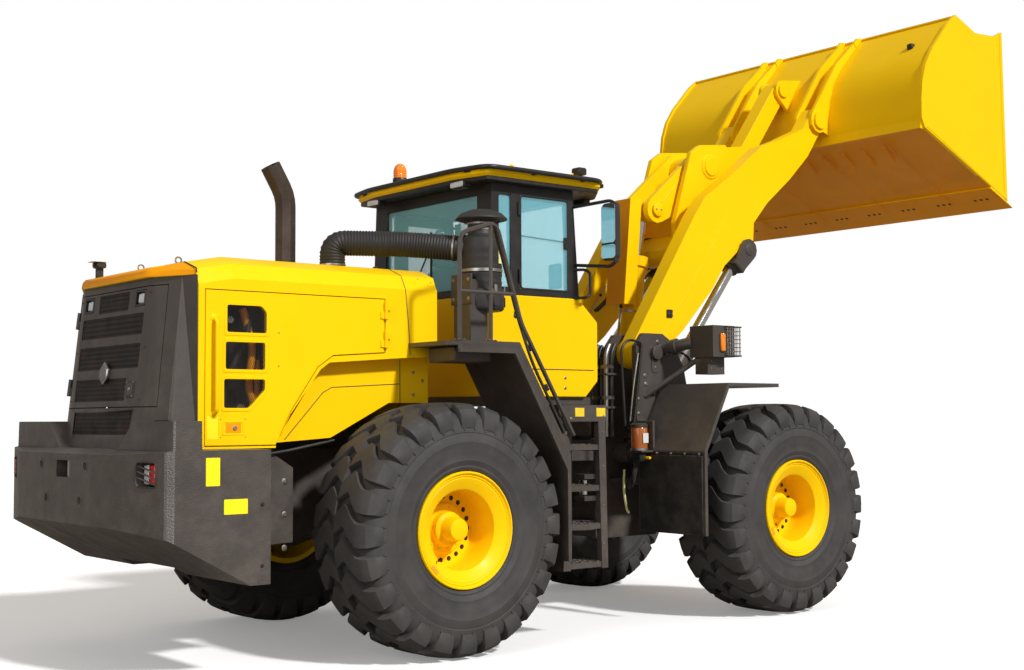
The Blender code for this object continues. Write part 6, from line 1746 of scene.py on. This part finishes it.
# Bands along the cheeks' front and lower edges
for side in (-1, 1):
    cheek = [(6.4, 3.69), (6.37, 5.33), (6.33, 5.315), (6.355, 3.72)]
    scoop.use("yellow").plate(cheek, "y", side * 1.668, side * 1.676, 0.003)
    lower = [(6.4, 3.69), (5.12, 4.25), (5.14, 4.285), (6.37, 3.745)]
    scoop.plate(lower, "y", side * 1.668, side * 1.674, 0.003)
    # Hooks at the top edge over the ears
    for y in (0.4, 0.6):
        scoop.plate(
            soft_outline([(5.5, 5.255), (5.6, 5.345), (5.575, 5.365), (5.53, 5.36), (5.47, 5.3)], 0.012), "y",
            side * y - 0.018, side * y + 0.018, 0.004
        )
    for y in (0.39, 0.61):
        scoop.tube(
            in_plane(side * y, [(5.055, 4.52), (5.075, 4.66), (5.135, 4.835), (5.245, 4.995), (5.49, 5.25)]),
            0.007, 6
        )
scoop.use("yellow").tube([(5.595, -1.64, 5.352), (5.595, 1.64, 5.352)], 0.01, 8)
# The bead along the heel in the oranger yellow: painted shade
scoop.use("yellow_shade").tube([(5.085, -1.64, 4.235), (5.085, 1.64, 4.235)], 0.008, 8)
scoop.use("black").box(5.3, 5.36, -1.4, -1.34, 5.05, 5.11, 0.01)
scoop.done("bucket")


# Stage, camera and light

FLOOR_HALF, FLOOR_GLOW, FLOOR_BOUNCE = 160, 0.22, (0.34, 0.31, 0.28)
surface("floor_white", (0.93, 0.93, 0.93), 0.85, specular=0.1, mottle=0.004, rough_change=0.02)
# The floor throws little light up under the machine; only the camera sees it near white
tree = materials["floor_white"].node_tree
seen = tree.nodes.new("ShaderNodeLightPath").outputs["Is Camera Ray"]
shader = tree.nodes["Principled BSDF"]
shown = shader.inputs["Base Color"].links[0].from_socket
tree.links.new(mixed(tree, seen, FLOOR_BOUNCE, shown), shader.inputs["Base Color"])
shader.inputs["Emission Color"].default_value = (1, 1, 1, 1)
glow = tree.nodes.new("ShaderNodeMath")
glow.operation = "MULTIPLY"
glow.inputs[1].default_value = FLOOR_GLOW
tree.links.new(seen, glow.inputs[0])
tree.links.new(glow.outputs[0], shader.inputs["Emission Strength"])
floor = Piece("floor", "floor_white")
floor.box(-FLOOR_HALF, FLOOR_HALF, -FLOOR_HALF, FLOOR_HALF, -0.06, -0.002, 0.001)
mesh = bpy.data.meshes.new("floor")
mesh.from_pydata(floor.verts, [], floor.faces)
mesh.materials.append(materials["floor_white"])
ground = bpy.data.objects.new("floor", mesh)
bpy.context.scene.collection.objects.link(ground)

# The photograph's camera: focal length in its pixels, its width in pixels, place and turns in degrees
FOCAL_PIXELS, PHOTO_WIDTH, SENSOR = 1414.56, 1024, 36
CAMERA_PLACE, CAMERA_TURNS = (-7.9486, -9.182, 1.6281), (38.959, 3.359, -0.297)
camera_data = bpy.data.cameras.new("camera")
camera_data.sensor_fit = "HORIZONTAL"
camera_data.sensor_width = SENSOR
camera_data.lens = FOCAL_PIXELS * SENSOR / PHOTO_WIDTH
camera_data.clip_end = 200
camera = bpy.data.objects.new("camera", camera_data)
bpy.context.scene.collection.objects.link(camera)
yaw, pitch, roll = (math.radians(a) for a in CAMERA_TURNS)
ahead = Vector((math.sin(yaw) * math.cos(pitch), math.cos(yaw) * math.cos(pitch), math.sin(pitch)))
level = Vector((math.cos(yaw), -math.sin(yaw), 0))
upright = level.cross(ahead)
across = level * math.cos(roll) + upright * math.sin(roll)
above = upright * math.cos(roll) - level * math.sin(roll)
turned_to = Matrix((across, above, -ahead)).transposed().to_4x4()
camera.matrix_world = Matrix.Translation(CAMERA_PLACE) @ turned_to
bpy.context.scene.camera = camera


def lamp(name, kind, place, aim, energy, size):
    data = bpy.data.lights.new(name, kind)
    data.energy = energy
    if kind == "SUN":
        data.angle = math.radians(size)
    else:
        data.size = size
    obj = bpy.data.objects.new(name, data)
    bpy.context.scene.collection.objects.link(obj)
    turned = (Vector(aim) - Vector(place)).to_track_quat("-Z", "Y").to_matrix().to_4x4()
    obj.matrix_world = Matrix.Translation(place) @ turned


lamp("sun", "SUN", (1.5, -12, 11), (0, 0, 1.5), 3.3, 5)
lamp("fill", "AREA", (-14, -6, 6), (-3, 0, 1.5), 420, 7)

WORLD_FILL = 0.36
world = bpy.data.worlds.new("world")
bpy.context.scene.world = world
world.use_nodes = True
tree = world.node_tree
plain = tree.nodes["Background"]
plain.inputs["Color"].default_value = (1.0, 0.93, 0.86, 1)
plain.inputs["Strength"].default_value = WORLD_FILL
white = tree.nodes.new("ShaderNodeBackground")
white.inputs["Color"].default_value = (1, 1, 1, 1)
white.inputs["Strength"].default_value = 1.0
rays = tree.nodes.new("ShaderNodeLightPath")
either = tree.nodes.new("ShaderNodeMath")
either.operation = "MAXIMUM"
tree.links.new(rays.outputs["Is Camera Ray"], either.inputs[0])
tree.links.new(rays.outputs["Is Transmission Ray"], either.inputs[1])
blend = tree.nodes.new("ShaderNodeMixShader")
tree.links.new(either.outputs[0], blend.inputs[0])
tree.links.new(plain.outputs[0], blend.inputs[1])
tree.links.new(white.outputs[0], blend.inputs[2])
tree.links.new(blend.outputs[0], tree.nodes["World Output"].inputs["Surface"])

bpy.context.scene.view_settings.view_transform = "Standard"
